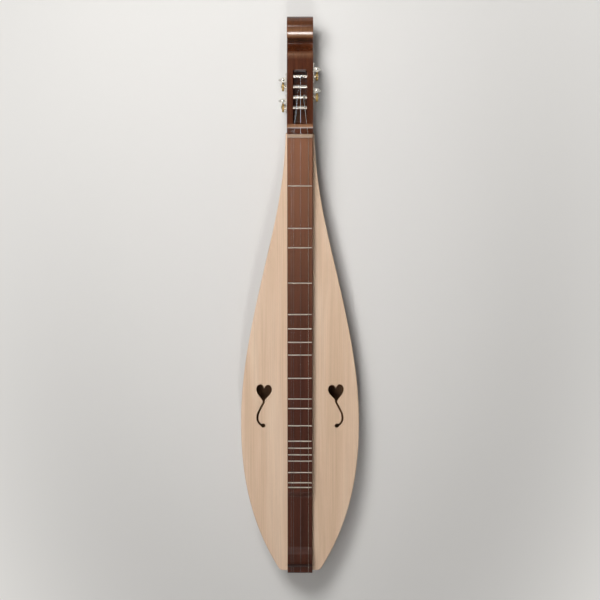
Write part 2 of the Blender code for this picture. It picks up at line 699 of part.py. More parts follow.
def closed_rings(name, rings, material, collection):
    """A closed solid through rings of equal point counts, its ends capped."""
    count = len(rings[0])
    points = [tuple(p) for ring in rings for p in ring]
    faces = []
    for low in range(0, (len(rings) - 1) * count, count):
        high = low + count
        faces += [(low + j, low + (j + 1) % count, high + (j + 1) % count, high + j) for j in range(count)]
    faces += [tuple(range(count))[::-1], tuple(range(len(points) - count, len(points)))]
    mesh = bpy.data.meshes.new(name)
    mesh.from_pydata(points, [], faces)
    return object_from_mesh(name, mesh, material, collection)


def tooth_half(radius, pitch_radius):
    """Half a tooth's thickness at a radius: a quarter of the pitch less backlash, with sloping flanks."""
    return (THREAD_PITCH / 2 - BACKLASH) / 2 - (radius - pitch_radius) * math.tan(FLANK_ANGLE)


def gear_mesh():
    """A bored ring of teeth slanted to the thread's lead: four loops of points joined round into a torus."""
    tip, root = GEAR_PITCH_RADIUS + ADDENDUM, GEAR_PITCH_RADIUS - DEDENDUM
    lead = THREAD_PITCH / (2 * math.pi * WORM_PITCH_RADIUS)
    outline = []
    for tooth in range(GEAR_TEETH):
        centre = 2 * math.pi * tooth / GEAR_TEETH
        for radius, sign in ((root, -1), (tip, -1), (tip, 1), (root, 1)):
            outline.append((radius, centre + sign * tooth_half(radius, GEAR_PITCH_RADIUS) / radius))
    bore = [(SPIGOT_RADIUS + FIT_GAP, angle) for _, angle in outline]
    rings = []
    for face, loop in ((-1, bore), (-1, outline), (1, outline), (1, bore)):
        x = face * GEAR_WIDTH / 2
        twist = lead * x / GEAR_PITCH_RADIUS
        rings.append([(x, r * math.cos(t + twist), r * math.sin(t + twist)) for r, t in loop])
    count = len(outline)
    faces = []
    for ring in range(4):
        this, other = ring * count, (ring + 1) % 4 * count
        faces += [(this + j, other + j, other + (j + 1) % count, this + (j + 1) % count)
                  for j in range(count)]
    mesh = bpy.data.meshes.new("gear")
    mesh.from_pydata([p for ring in rings for p in ring], [], faces)
    work = bmesh.new()
    work.from_mesh(mesh)
    bmesh.ops.recalc_face_normals(work, faces=work.faces)
    work.to_mesh(mesh)
    work.free()
    return mesh


def thread_radius(angle, height):
    """The worm's radius: the thread's crest climbs one pitch a turn, with sloping flanks and a flat root."""
    turn = (angle - math.pi / 2) / (2 * math.pi) - height / THREAD_PITCH
    off = abs(turn - round(turn)) * THREAD_PITCH
    radius = WORM_PITCH_RADIUS + ((THREAD_PITCH / 2 - BACKLASH) / 2 - off) / math.tan(FLANK_ANGLE)
    return min(WORM_PITCH_RADIUS + ADDENDUM, max(WORM_PITCH_RADIUS - DEDENDUM, radius))


def worm_shaft_rings():
    """From below: the oval button, its neck, the shaft, the threaded worm and the shaft's chamfered end.

    The button's half width follows a cosine to the power 0.8, and its half thickness falls more slowly.
    """
    def ring(z, wide, thick):
        return [(wide * math.cos(t), thick * math.sin(t), z) for t in angles]

    angles = np.linspace(0.0, 2 * math.pi, WORM_SIDES, endpoint=False)
    half_worm = WORM_LENGTH / 2
    end = half_worm + TURN_GAP + LUG_THICKNESS + SHAFT_ABOVE_LUG
    chamfer = 0.3 * SHAFT_RADIUS
    top = HEAD_UNDERSIDE - BUTTON_CLEARANCE - POST_HEIGHT
    rings = []
    for t in np.radians(np.linspace(-84, 62, 8)):
        share = math.cos(t) ** 0.8
        rings.append(ring(top - (1 - math.sin(t)) * BUTTON_HEIGHT / 2, BUTTON_HALF_WIDTH * share,
                          BUTTON_HALF_THICKNESS * share**0.6))
    rings.append(ring(top, SHAFT_RADIUS * 1.35, SHAFT_RADIUS * 1.2))
    rings.append(ring(top + BUTTON_NECK, SHAFT_RADIUS, SHAFT_RADIUS))
    rings.append(ring(-half_worm - FIT_GAP / 3, SHAFT_RADIUS, SHAFT_RADIUS))
    for z in np.linspace(-half_worm, half_worm, round(WORM_LENGTH / THREAD_PITCH * WORM_RINGS_PER_TURN)):
        radii = [thread_radius(t, z) for t in angles]
        rings.append([(r * math.cos(t), r * math.sin(t), z) for r, t in zip(radii, angles)])
    rings.append(ring(half_worm + FIT_GAP / 3, SHAFT_RADIUS, SHAFT_RADIUS))
    rings.append(ring(end - chamfer, SHAFT_RADIUS, SHAFT_RADIUS))
    rings.append(ring(end, SHAFT_RADIUS - chamfer, SHAFT_RADIUS - chamfer))
    return rings


def tuner_plate(number, collection, metal):
    """The side plate with two lugs that carry the worm shaft, and a hole that the post turns in."""
    side, y = post_side(number), y_at(-post_along(number))
    shaft_y = y + WORM_DISTANCE
    front, back = y + PLATE_FORWARD - PLATE_CORNER, y - PLATE_BACKWARD + PLATE_CORNER
    high, low = (POST_HEIGHT + sign * (PLATE_HALF_HEIGHT - PLATE_CORNER) for sign in (1, -1))
    outline = []
    for quarter, (centre_y, centre_z) in enumerate(((front, high), (back, high), (back, low), (front, low))):
        start = quarter * math.pi / 2
        outline += arc(centre_y, centre_z, PLATE_CORNER, start, start + math.pi / 2, 4)
    hole = circle_loop(y, POST_HEIGHT, POST_RADIUS + TURN_GAP, 16)
    faces = sorted((side * METAL_X, side * (METAL_X + PLATE_METAL)))
    name = f"tuner_plate_{number + 1}"
    mesh = flat_outline(name, [outline, hole], *faces, ACROSS)
    plate = object_from_mesh(name, mesh, metal["nickel"], collection)
    root = side * (METAL_X + PLATE_METAL / 2)
    nose = [(side * x, lug_y)
            for x, lug_y in arc(GEAR_X, shaft_y, LUG_HALF_WIDTH, -math.pi / 2, math.pi / 2, 7)]
    lug_outline = [(root, nose[0][1]), *nose, (root, nose[-1][1])]
    bore = circle_loop(side * GEAR_X, shaft_y, SHAFT_RADIUS + TURN_GAP, 14)
    lug_from = WORM_LENGTH / 2 + TURN_GAP
    for sign, label in ((1, "upper"), (-1, "lower")):
        low, high = sorted((POST_HEIGHT + sign * lug_from, POST_HEIGHT + sign * (lug_from + LUG_THICKNESS)))
        mesh = flat_outline("lug", [lug_outline, bore], low, high)
        lug = object_from_mesh(f"{label} lug {number + 1}", mesh, metal["nickel"], metal["cutters"])
        boolean(plate, lug, "UNION")


def post_profile():
    """The post from its screw head down: the gear's spigot, the shoulder and the shank in its blind bore."""
    screw_low = GEAR_X + GEAR_WIDTH / 2 + FIT_GAP
    screw_high = screw_low + SCREW_HEAD_HEIGHT
    shoulder = GEAR_X - GEAR_WIDTH / 2 - FIT_GAP
    far_end = -(SLOT_WIDTH / 2 + POST_SEAT_DEPTH)
    return [(0.0, screw_high), (SCREW_HEAD_RADIUS * 0.75, screw_high),
            (SCREW_HEAD_RADIUS, screw_high - SCREW_HEAD_HEIGHT * 0.45), (SCREW_HEAD_RADIUS, screw_low),
            (SPIGOT_RADIUS, screw_low), (SPIGOT_RADIUS, shoulder), (POST_RADIUS, shoulder),
            (POST_RADIUS, far_end), (0.0, far_end)]


def add_tuners(collection, metal):
    """Four worm tuners: a plate, a post with its gear and a button with its worm, each on its joint's axis."""
    shaft_shape = closed_rings("worm shaft shape", worm_shaft_rings(), metal["nickel"], metal["cutters"])
    shade_round(as_cutter(shaft_shape))
    teeth = gear_mesh()
    for number in range(POST_COUNT):
        side, y = post_side(number), y_at(-post_along(number))
        tuner_plate(number, collection, metal)
        post = turned(f"tuner_post_{number + 1}", post_profile(), metal["steel"], collection)
        post.location = (0.0, y, POST_HEIGHT)
        post.rotation_euler = (0.0, side * math.pi / 2, 0.0)
        gear = object_from_mesh(f"tuner_gear_{number + 1}", teeth.copy(), metal["brass"], collection)
        gear.location = (side * GEAR_X, y, POST_HEIGHT)
        worm = shaft_shape.data.copy()
        shaft = object_from_mesh(f"tuner_button_{number + 1}", worm, metal["nickel"], collection)
        shaft.location = (side * GEAR_X, y + WORM_DISTANCE, POST_HEIGHT)


def tangent_angle(centre, radius, point):
    """The angle on a circle's upper side where a line from the point touches it."""
    away = (point[0] - centre[0], point[1] - centre[1])
    return math.atan2(away[1], away[0]) - math.acos(radius / math.hypot(*away))


def winding_line(number):
    """The string's loops: a circle just clear of its post that moves along the post one step a turn.

    It starts where the line that falls from the nut touches the circle's upper side.
    """
    radius = STRING_RADII[number]
    centre = (post_along(STRING_POSTS[number]), POST_HEIGHT)
    turn_radius = POST_RADIUS + FIT_GAP + radius
    start = tangent_angle(centre, turn_radius, (NUT_CREST / 2, STRING_AT_NUT_HEIGHT))
    turns = np.linspace(0.0, WINDING_LOOPS, WINDING_LOOPS * LOOP_POINTS + 1)
    angles = start - 2 * math.pi * turns
    x = STRINGS_AT_POST[number] + (2 * radius + WINDING_SPACE) * turns
    y = y_at(-centre[0] - turn_radius * np.cos(angles))
    z = centre[1] + turn_radius * np.sin(angles)
    return [Vector(place) for place in zip(x, y, z)]


def falling_stretch(number):
    """The straight stretch behind the nut, as its two ends: on the nut's crest, and where the loops begin."""
    crest_end = Vector((STRINGS_AT_NUT[number], y_at(-NUT_CREST / 2), STRING_AT_NUT_HEIGHT))
    return crest_end, winding_line(number)[0]


def string_route(number):
    """From the hook on its hitch pin over the board's end, the bridge and the nut to the post's loops."""
    radius = STRING_RADII[number]
    x_pin, x_bridge, x_nut = HITCH_PINS_AT[number], STRINGS_AT_BRIDGE[number], STRINGS_AT_NUT[number]
    hook = PIN_RADIUS + FIT_GAP + radius
    plane = BODY_END + FIT_GAP + radius
    route = [(plane, x_pin - hook * 0.55, PIN_HEIGHT + HOOK_TAIL)]
    route += [(plane, x_pin + a, PIN_HEIGHT + b) for a, b in arc(0.0, 0.0, hook, math.pi, 2 * math.pi, 9)]
    bend = BOARD_END_ROUNDING + FIT_GAP + radius
    centre = (BODY_END - BOARD_END_ROUNDING, BOARD_TOP - BOARD_END_ROUNDING)
    leaves_at = tangent_angle(centre, bend, (SCALE_LENGTH, STRING_AT_BRIDGE_HEIGHT))
    route += [(a, x_bridge, z) for a, z in arc(*centre, bend, 0.0, leaves_at, 5)]
    crest = BRIDGE_CREST / 4
    route += [(SCALE_LENGTH + crest, x_bridge, STRING_AT_BRIDGE_HEIGHT),
              (SCALE_LENGTH - crest, x_bridge, STRING_AT_BRIDGE_HEIGHT),
              (0.0, x_nut, STRING_AT_NUT_HEIGHT), (-NUT_CREST / 2, x_nut, STRING_AT_NUT_HEIGHT)]
    return [Vector((x, y_at(a), z)) for a, x, z in route] + winding_line(number)


def least_gap_to_itself(points, radius):
    """The least space between stretches of a tube that lie at least half a loop apart along it."""
    places = np.array([tuple(p) for p in points])
    along = np.concatenate([[0.0], np.cumsum(np.linalg.norm(np.diff(places, axis=0), axis=1))])
    apart = np.linalg.norm(places[:, None] - places[None], axis=2)
    far_along = np.abs(along[:, None] - along[None]) > math.pi * POST_RADIUS
    return float(apart[far_along].min()) - 2 * radius


def add_strings(collection, metal):
    """Each string in one piece from its hook to its loops, and the hitch pins that hold the hooks."""
    for number, radius in enumerate(STRING_RADII):
        route = string_route(number)
        print(f"string_{number + 1}: least gap to itself {least_gap_to_itself(route, radius) * 1000:.2f} mm")
        tube(f"string_{number + 1}", route, radius, metal["steel"], collection)
    head_low = PIN_REACH - PIN_HEAD_THICKNESS
    profile = [(0.0, PIN_REACH), (PIN_HEAD_RADIUS * 0.6, PIN_REACH),
               (PIN_HEAD_RADIUS, PIN_REACH - PIN_HEAD_THICKNESS * 0.4), (PIN_HEAD_RADIUS, head_low),
               (PIN_RADIUS, head_low), (PIN_RADIUS, -PIN_DEPTH), (0.0, -PIN_DEPTH)]
    for number, x in enumerate(HITCH_PINS_AT):
        pin = turned(f"hitch_pin_{number + 1}", profile, metal["steel"], collection, 12)
        pin.location = (x, y_at(BODY_END), PIN_HEIGHT)
        pin.rotation_euler = (math.pi / 2, 0.0, 0.0)


def main():
    clear_scene()
    collection = add_collection("mountain dulcimer")
    cutters = add_collection("cutters", hidden=True)
    wood = {
        "top": new_material("pale soundboard wood", (0.61, 0.47, 0.33), 0.45),
        "back": new_material("walnut back", (0.16, 0.075, 0.045), 0.42),
        "side": new_material("walnut sides", (0.17, 0.08, 0.05), 0.42),
        "block": new_material("walnut tail block", (0.15, 0.07, 0.045), 0.45),
        "brace": new_material("spruce braces", (0.62, 0.48, 0.30), 0.6),
        "board": new_material("walnut fretboard", (0.13, 0.06, 0.045), 0.35),
        "head": new_material("walnut head", (0.13, 0.05, 0.035), 0.38),
        "nut": new_material("bone nut", (0.55, 0.42, 0.33), 0.4),
        "bridge": new_material("rosewood bridge", (0.06, 0.025, 0.02), 0.4),
        "cutters": cutters,
    }
    metal = {
        "nickel": new_material("nickel silver", (0.62, 0.58, 0.54), 0.28, 1.0),
        "steel": new_material("bright steel", (0.6, 0.6, 0.6), 0.25, 1.0),
        "brass": new_material("brass gears", (0.72, 0.5, 0.22), 0.32, 1.0),
        "cutters": cutters,
    }
    add_plates(collection, wood)
    add_sides(collection, wood)
    add_tail_block(collection, wood)
    add_braces(collection, wood)
    add_fretboard(collection, wood)
    add_nut_and_bridge(collection, wood)
    add_frets(collection, metal)
    add_head(collection, wood)
    add_tuners(collection, metal)
    add_strings(collection, metal)


main()
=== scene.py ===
"""Mountain dulcimer with heart sound holes, dressed in wood, bone and metal finishes and seen from above.

Metres, +Z up. It lies on its flat back with the scroll head towards +Y and the bass string at +X.
"Along" is measured from the nut's front face: positive towards the tail, negative towards the scroll.
"""

import math

import bmesh
import bpy
import numpy as np
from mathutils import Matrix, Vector


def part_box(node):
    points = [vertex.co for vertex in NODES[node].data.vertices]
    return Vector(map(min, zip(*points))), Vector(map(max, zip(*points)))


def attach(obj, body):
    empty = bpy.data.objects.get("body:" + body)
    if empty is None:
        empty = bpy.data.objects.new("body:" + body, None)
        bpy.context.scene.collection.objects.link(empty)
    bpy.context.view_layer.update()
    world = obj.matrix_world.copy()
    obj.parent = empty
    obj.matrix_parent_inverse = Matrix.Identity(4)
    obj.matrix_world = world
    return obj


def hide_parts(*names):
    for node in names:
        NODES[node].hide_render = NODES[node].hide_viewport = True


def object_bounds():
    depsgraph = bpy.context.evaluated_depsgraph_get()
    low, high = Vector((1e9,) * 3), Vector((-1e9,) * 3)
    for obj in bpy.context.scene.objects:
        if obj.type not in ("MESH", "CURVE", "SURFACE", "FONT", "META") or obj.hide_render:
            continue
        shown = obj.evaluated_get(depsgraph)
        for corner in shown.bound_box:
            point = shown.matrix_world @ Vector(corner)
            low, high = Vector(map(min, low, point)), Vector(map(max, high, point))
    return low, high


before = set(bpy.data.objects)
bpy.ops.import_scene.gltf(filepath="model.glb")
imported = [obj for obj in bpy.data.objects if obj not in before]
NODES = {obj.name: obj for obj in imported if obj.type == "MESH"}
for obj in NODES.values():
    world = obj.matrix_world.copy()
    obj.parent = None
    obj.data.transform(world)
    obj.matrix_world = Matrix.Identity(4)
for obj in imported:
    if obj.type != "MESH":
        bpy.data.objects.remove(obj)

CAD_BOX = [list(corner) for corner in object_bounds()]
MM = 0.001

# The photograph's framing: from above, leaning a little towards the head
VIEW_TILT = math.radians(7)
VIEW_DISTANCE = 2.6
VIEW_HEIGHT = 0.955
PICTURE_SENSOR = 36.0
SURROUND = "#E6E4E0"
# The floor fades into the surround between these distances, counted more quickly sideways
FLOOR_FADE = (0.5, 1.2)
FLOOR_FADE_SIDEWAYS = 1.6


# Materials

def linear(hex_colour):
    """An sRGB hex colour as linear RGBA."""
    channels = np.array([int(hex_colour[i:i + 2], 16) for i in (1, 3, 5)]) / 255
    values = np.where(channels <= 0.04045, channels / 12.92, ((channels + 0.055) / 1.055) ** 2.4)
    return (*(float(v) for v in values), 1.0)


def add(tree, kind, inputs=None, stops=None, **settings):
    """Adds a shader node: its settings, its inputs as values or links, and a ramp's stops as (place, colour)."""
    made = tree.nodes.new("ShaderNode" + kind)
    for name, value in settings.items():
        setattr(made, name, value)
    for name, value in (inputs or {}).items():
        if isinstance(value, bpy.types.Node):
            value = value.outputs[0]
        if isinstance(value, bpy.types.NodeSocket):
            tree.links.new(value, made.inputs[name])
        else:
            made.inputs[name].default_value = value
    if stops:
        ramp = made.color_ramp
        for place, _ in stops[2:]:
            ramp.elements.new(place)
        for element, (place, colour) in zip(ramp.elements, sorted(stops)):
            element.position = place
            element.color = linear(colour) if isinstance(colour, str) else (colour, colour, colour, 1.0)
    return made


def new_material(name, **shader_values):
    """A material whose Principled shader gets the values given; returns it with its tree and shader."""
    material = bpy.data.materials.new(name)
    material.use_nodes = True
    tree = material.node_tree
    shader = tree.nodes["Principled BSDF"]
    for socket, value in shader_values.items():
        shader.inputs[socket.replace("_", " ")].default_value = value
    return material, tree, shader


def wood(name, colours, grain_mm, figure_mm, pore, roughness, bump, axis="Y", coat=0.0, rings=0.5, painted_sheen=None,
         sheen=0.5, route=None):
    """Wood with straight grain along one axis, or along the route that a piece's attribute gives.

    Growth lines are a stretched noise across the grain, a broader noise shifts the tone, and pores are short
    dark dashes along the grain. The pores are drawn about twice their real width so that they show. The painted
    sheen is a paler colour, painted highlight and sheen on faces that look up, with stops (Y, share) for how much of it
    shows along the length.
    """
    material, tree, shader = new_material(name, Coat_Weight=coat, Coat_Roughness=0.13, Specular_IOR_Level=sheen)
    place = add(tree, "TexCoord").outputs["Object"]
    if route:
        place = add(tree, "Attribute", attribute_name=route).outputs["Vector"]

    def stretched(across_mm, along_mm):
        scale = [1 / (across_mm * MM)] * 3
        scale["XYZ".index(axis)] = 1 / (along_mm * MM)
        return add(tree, "Mapping", {"Vector": place, "Scale": scale})

    lines = add(tree, "TexNoise", {"Vector": stretched(grain_mm, grain_mm * 160), "Scale": 1.0, "Detail": 3.0,
                                   "Roughness": 0.6, "Distortion": 0.25})
    figure = add(tree, "TexNoise", {"Vector": stretched(figure_mm, figure_mm * 14), "Scale": 1.0, "Detail": 4.0,
                                    "Roughness": 0.55, "Distortion": 0.6})
    dark, middle, light = colours
    toned = add(tree, "ValToRGB", {"Fac": figure}, stops=[(0.25, dark), (0.75, light), (0.5, middle)]).outputs[0]
    # Painted sheen and highlights: a paler colour painted on upward faces, by stops along the length
    if painted_sheen:
        hex_colour, stops = painted_sheen
        low, span = stops[0][0], stops[-1][0] - stops[0][0]
        along = add(tree, "SeparateXYZ", {"Vector": place}).outputs["Y"]
        along = add(tree, "MapRange", {"Value": along, "From Min": low, "From Max": low + span})
        share = add(tree, "ValToRGB", {"Fac": along}, stops=[((y - low) / span, part) for y, part in stops])
        facing = add(tree, "SeparateXYZ", {"Vector": add(tree, "NewGeometry").outputs["Normal"]}).outputs["Z"]
        facing = add(tree, "MapRange", {"Value": facing, "From Min": 0.3, "From Max": 0.8})
        share = add(tree, "Math", {0: share, 1: facing}, operation="MULTIPLY")
        toned = add(tree, "Mix", {0: share, 6: toned, 7: linear(hex_colour)}, data_type="RGBA").outputs[2]
    lined = add(tree, "ValToRGB", {"Fac": lines}, stops=[(0.36, 1 - rings), (0.62, 1.0)])
    colour = add(tree, "Mix", {0: 1.0, 6: toned, 7: lined}, data_type="RGBA", blend_type="MULTIPLY").outputs[2]
    across, along, depth = pore
    pores = add(tree, "TexNoise", {"Vector": stretched(across, along), "Scale": 1.0, "Detail": 1.0})
    dashes = add(tree, "ValToRGB", {"Fac": pores}, stops=[(0.30, 1.0 - depth), (0.42, 1.0)])
    colour = add(tree, "Mix", {0: 1.0, 6: colour, 7: dashes}, data_type="RGBA", blend_type="MULTIPLY").outputs[2]
    tree.links.new(colour, shader.inputs["Base Color"])
    low, high = roughness
    gloss = add(tree, "MapRange", {"Value": lines.outputs["Fac"], "From Min": 0.3, "From Max": 0.7,
                                   "To Min": high, "To Max": low})
    tree.links.new(gloss.outputs[0], shader.inputs["Roughness"])
    height = add(tree, "Mix", {0: 0.5, 6: lined, 7: dashes}, data_type="RGBA").outputs[2]
    relief = add(tree, "Bump", {"Height": height, "Strength": 0.5, "Distance": bump * MM})
    tree.links.new(relief.outputs[0], shader.inputs["Normal"])
    return material


def metal(name, hex_colour, roughness, scratch_mm, axis="Y", bump=0.01):
    """Metal with fine scratches along one axis and a slightly uneven polish."""
    material, tree, shader = new_material(name, Base_Color=linear(hex_colour), Metallic=1.0)
    place = add(tree, "TexCoord").outputs["Object"]
    scale = [1 / (scratch_mm * MM)] * 3
    scale["XYZ".index(axis)] = 1 / (scratch_mm * 40 * MM)
    scratches = add(tree, "TexNoise", {"Vector": add(tree, "Mapping", {"Vector": place, "Scale": scale}),
                                       "Scale": 1.0, "Detail": 3.0})
    low, high = roughness
    gloss = add(tree, "MapRange", {"Value": scratches.outputs["Fac"], "From Min": 0.3, "From Max": 0.7,
                                   "To Min": low, "To Max": high})
    tree.links.new(gloss.outputs[0], shader.inputs["Roughness"])
    relief = add(tree, "Bump", {"Height": scratches.outputs["Fac"], "Strength": 0.3, "Distance": bump * MM})
    tree.links.new(relief.outputs[0], shader.inputs["Normal"])
    return material


def wound_metal(name, hex_colour):
    """Wire wound close round a core: a ridge every 0.4 mm of the string's length, twice as coarse as the real one.

    The ridges are the square of a sine, with painted shade, a darker colour, and duller where two turns meet.
    """
    material, tree, shader = new_material(name, Metallic=1.0)
    length = add(tree, "Attribute", attribute_name="string_length").outputs["Fac"]
    wave = add(tree, "Math", {0: length, 1: math.pi / (0.4 * MM)}, operation="MULTIPLY")
    wave = add(tree, "Math", {0: wave}, operation="SINE")
    ridge = add(tree, "Math", {0: wave, 1: wave}, operation="MULTIPLY")
    # Painted shade: darker colour in the creases between the turns
    tone = add(tree, "ValToRGB", {"Fac": ridge}, stops=[(0.0, "#4A453E"), (0.5, hex_colour)])
    tree.links.new(tone.outputs[0], shader.inputs["Base Color"])
    gloss = add(tree, "MapRange", {"Value": ridge, "To Min": 0.5, "To Max": 0.25})
    tree.links.new(gloss.outputs[0], shader.inputs["Roughness"])
    relief = add(tree, "Bump", {"Height": ridge, "Strength": 0.6, "Distance": 0.08 * MM})
    tree.links.new(relief.outputs[0], shader.inputs["Normal"])
    return material


def floor_paint(name, hex_colour):
    """Matt paint that fades, far from the object, into the surround's own colour where the camera sees it."""
    material, tree, shader = new_material(name, Base_Color=linear(hex_colour), Roughness=0.9)
    place = add(tree, "TexCoord").outputs["Object"]
    place = add(tree, "VectorMath", {0: place, 1: (FLOOR_FADE_SIDEWAYS, 1.0, 1.0)}, operation="MULTIPLY")
    away = add(tree, "VectorMath", {0: place}, operation="LENGTH").outputs["Value"]
    fade = add(tree, "MapRange", {"Value": away, "From Min": FLOOR_FADE[0], "From Max": FLOOR_FADE[1]},
               interpolation_type="SMOOTHSTEP")
    ray = add(tree, "LightPath").outputs
    seen = add(tree, "Math", {0: ray["Is Camera Ray"], 1: ray["Is Glossy Ray"]}, operation="ADD")
    seen = add(tree, "Math", {0: seen, 1: ray["Is Transmission Ray"]}, operation="ADD", use_clamp=True)
    share = add(tree, "Math", {0: fade, 1: seen}, operation="MULTIPLY")
    glow = add(tree, "Emission", {"Color": linear(SURROUND)})
    both = add(tree, "MixShader", {0: share, 1: shader, 2: glow})
    tree.links.new(both.outputs[0], tree.nodes["Material Output"].inputs["Surface"])
    return material


# Satin-lacquered quartersawn softwood: pale tan with fine darker growth lines
SPRUCE = wood("satin spruce soundboard", ("#CFAF91", "#D9BA9E", "#E2C7AD"), 1.1, 21, (0.25, 9, 0.06),
              (0.42, 0.54), 0.02, rings=0.11)
BARE_SPRUCE = wood("bare spruce braces", ("#C9AE82", "#D6BD92", "#E0C9A2"), 1.3, 16, (0.25, 7, 0.08),
                   (0.6, 0.75), 0.04, axis="X", rings=0.2)
WALNUT = wood("satin walnut body", ("#55341F", "#6B452D", "#80573A"), 1.6, 14, (0.3, 7, 0.5),
              (0.34, 0.48), 0.04, rings=0.35)
BENT_WALNUT = wood("satin walnut bent side", ("#55341F", "#6B452D", "#80573A"), 1.6, 14, (0.3, 7, 0.5),
                   (0.34, 0.48), 0.04, rings=0.35, route="along_the_bend")
# The tail block's grain runs across, so that the nails hold
WALNUT_BLOCK = wood("satin walnut tail block", ("#55341F", "#6B452D", "#80573A"), 1.6, 14, (0.3, 7, 0.5),
                    (0.34, 0.48), 0.04, axis="X", rings=0.35)
# The insides stay bare, as pale as freshly planed walnut
BARE_WALNUT = wood("bare walnut inside", ("#8A6243", "#9A704E", "#AA805C"), 1.6, 14, (0.22, 5, 0.4),
                   (0.6, 0.75), 0.04, rings=0.2, sheen=0.3)
# Oiled walnut, dark red brown, with a painted sheen: a paler brown painted on its top, strongest towards the nut and
# gone before the strumming end
WALNUT_BOARD = wood("oiled dark walnut fretboard", ("#3B190B", "#482112", "#572B1B"), 1.4, 12, (0.2, 5, 0.4),
                    (0.46, 0.58), 0.03, rings=0.2, sheen=0.2,
                    painted_sheen=("#8F5E42", ((-0.15, 0.0), (-0.04, 0.1), (0.06, 0.33), (0.15, 0.58), (0.25, 0.8))))
# Reddish walnut under a satin lacquer, which keeps a soft highlight on the scroll. Painted highlights, a paler brown on
# upward faces, lie on the lip before the slot, the top of the slope and the scroll's crest
WALNUT_HEAD = wood("carved reddish walnut head", ("#431E0E", "#532914", "#63351F"), 1.5, 12, (0.2, 5, 0.45),
                   (0.6, 0.72), 0.03, coat=1.0, rings=0.25, sheen=0.0,
                   painted_sheen=("#AC7E5B", ((0.2715, 0.0), (0.2725, 0.6), (0.2775, 0.6), (0.2795, 0.0), (0.379, 0.0),
                                     (0.3865, 0.3), (0.393, 0.0), (0.407, 0.0), (0.415, 0.8), (0.420, 0.6),
                                     (0.430, 0.1))))
ROSEWOOD = wood("oiled rosewood bridge", ("#28120B", "#331810", "#412016"), 0.8, 5, (0.15, 2.5, 0.5),
                (0.4, 0.52), 0.02, axis="X", rings=0.35, sheen=0.3)
BONE = wood("aged bone nut", ("#8F7560", "#9D836C", "#AB927A"), 1.2, 6, (0.12, 0.8, 0.2),
            (0.25, 0.35), 0.005, axis="X", rings=0.06)
NICKEL_SILVER = metal("played nickel silver frets", "#A2978B", (0.28, 0.42), 0.12, axis="X")
PRESSED_NICKEL = metal("pressed nickel silver plates", "#BDB8AE", (0.24, 0.4), 0.15)
NICKEL_PLATE = metal("bright nickel plate buttons", "#D2D0CA", (0.1, 0.2), 0.1, axis="Z")
STEEL = metal("turned steel posts", "#A79E94", (0.18, 0.3), 0.1, axis="X")
STRING_STEEL = metal("drawn string steel", "#BFC1C3", (0.16, 0.26), 0.08)
NICKEL_WOUND = wound_metal("nickel wound bass string", "#B9B3A8")
BRASS = metal("cut brass gears", "#B09862", (0.22, 0.36), 0.12, axis="X")
FLOOR_PAINT = floor_paint("matt pale floor", "#DBD9D6")


# Sizes, as the CAD model's source gives them

SCALE_LENGTH = 0.686
SEMITONES_AT_FRETS = (2, 4, 5, 7, 9, 10, 11, 12, 14, 16, 17, 19, 21, 22, 23, 24, 26, 28, 29)
BODY_START = -0.006
BODY_END = 0.699
NUT_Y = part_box("nut")[0].y
# The outline's stations, each (along, half width, slope)
STATIONS = ((BODY_START, 0.0225, 0.03), (0.145, 0.0425, 0.225), (0.456, 0.0948, 0.0), (BODY_END, 0.0325, -0.62))
PLATE_OVERHANG = 0.002
SIDE_THICKNESS = 0.0025
FIT_GAP = 0.0003
TOP_LOW, TOP_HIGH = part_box("soundboard_bass")[0].z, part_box("soundboard_bass")[1].z
BACK_LOW, BACK_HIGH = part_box("back")[0].z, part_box("back")[1].z
SIDE_LOW, SIDE_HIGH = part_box("side_bass")[0].z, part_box("side_bass")[1].z
BOARD_LOW, BOARD_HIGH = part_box("fretboard")[0].z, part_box("fretboard")[1].z
BOARD_HALF = 0.020
EDGE_STEPS = 240
# The fine outline stays this much inside the CAD model's, whose corners lie on the same curve
OUTLINE_INSET = 0.00005
GLUE_LINE = 0.00006
NOSE_DEPTH = 0.0014
TAIL_CORNER = 0.0035

HEART_WIDTH, HEART_HEIGHT, HEART_TURN = 0.0250, 0.0300, math.radians(4)
HEART_X, HEART_ALONG = 0.0580, 0.4085
STEM_WIDTH, STEM_END_RADIUS = 0.0032, 0.0036
STEM_ROUTE = ((0.0, -0.0135), (0.0045, -0.0225), (0.0094, -0.0330), (0.0100, -0.0425),
              (0.0062, -0.0495), (0.0012, -0.0520))
HOLE_ARRIS = 0.0005


def y_at(along):
    return NUT_Y - along


def half_width(along, inset=0.0):
    """Half the teardrop's width: a cubic between stations that keeps their widths and slopes, less the inset."""
    along = np.asarray(along, float)
    value, slope = np.zeros_like(along), np.zeros_like(along)
    for number, (start, end) in enumerate(zip(STATIONS, STATIONS[1:])):
        span = end[0] - start[0]
        here = (along >= start[0]) | (number == 0)
        q = (along[here] - start[0]) / span
        value[here] = ((2 * q**3 - 3 * q**2 + 1) * start[1] + (q**3 - 2 * q**2 + q) * span * start[2]
                       + (3 * q**2 - 2 * q**3) * end[1] + (q**3 - q**2) * span * end[2])
        slope[here] = ((6 * q**2 - 6 * q) * (start[1] - end[1]) / span
                       + (3 * q**2 - 4 * q + 1) * start[2] + (3 * q**2 - 2 * q) * end[2])
    return value - inset * np.sqrt(1 + slope**2)


# Building surfaces

def surface(points, close_rows=False, close_columns=False):
    """A grid of points as vertices and four-sided faces; rows or columns may close round."""
    rows, columns = points.shape[:2]
    index = np.arange(rows * columns).reshape(rows, columns)
    if close_rows:
        index = np.vstack([index, index[:1]])
    if close_columns:
        index = np.hstack([index, index[:, :1]])
    faces = np.stack([index[:-1, :-1], index[:-1, 1:], index[1:, 1:], index[1:, :-1]], axis=-1)
    return points.reshape(-1, 3), faces.reshape(-1, 4)


def closed_tube(points):
    """Rings of points (rows, ring, 3) joined into a tube whose two ends are closed with flat faces."""
    vertices, faces = surface(points, close_columns=True)
    ring = np.arange(points.shape[1])
    ends = np.stack([ring[::-1], ring + len(vertices) - len(ring)])
    return [(vertices, faces), (vertices, ends)]


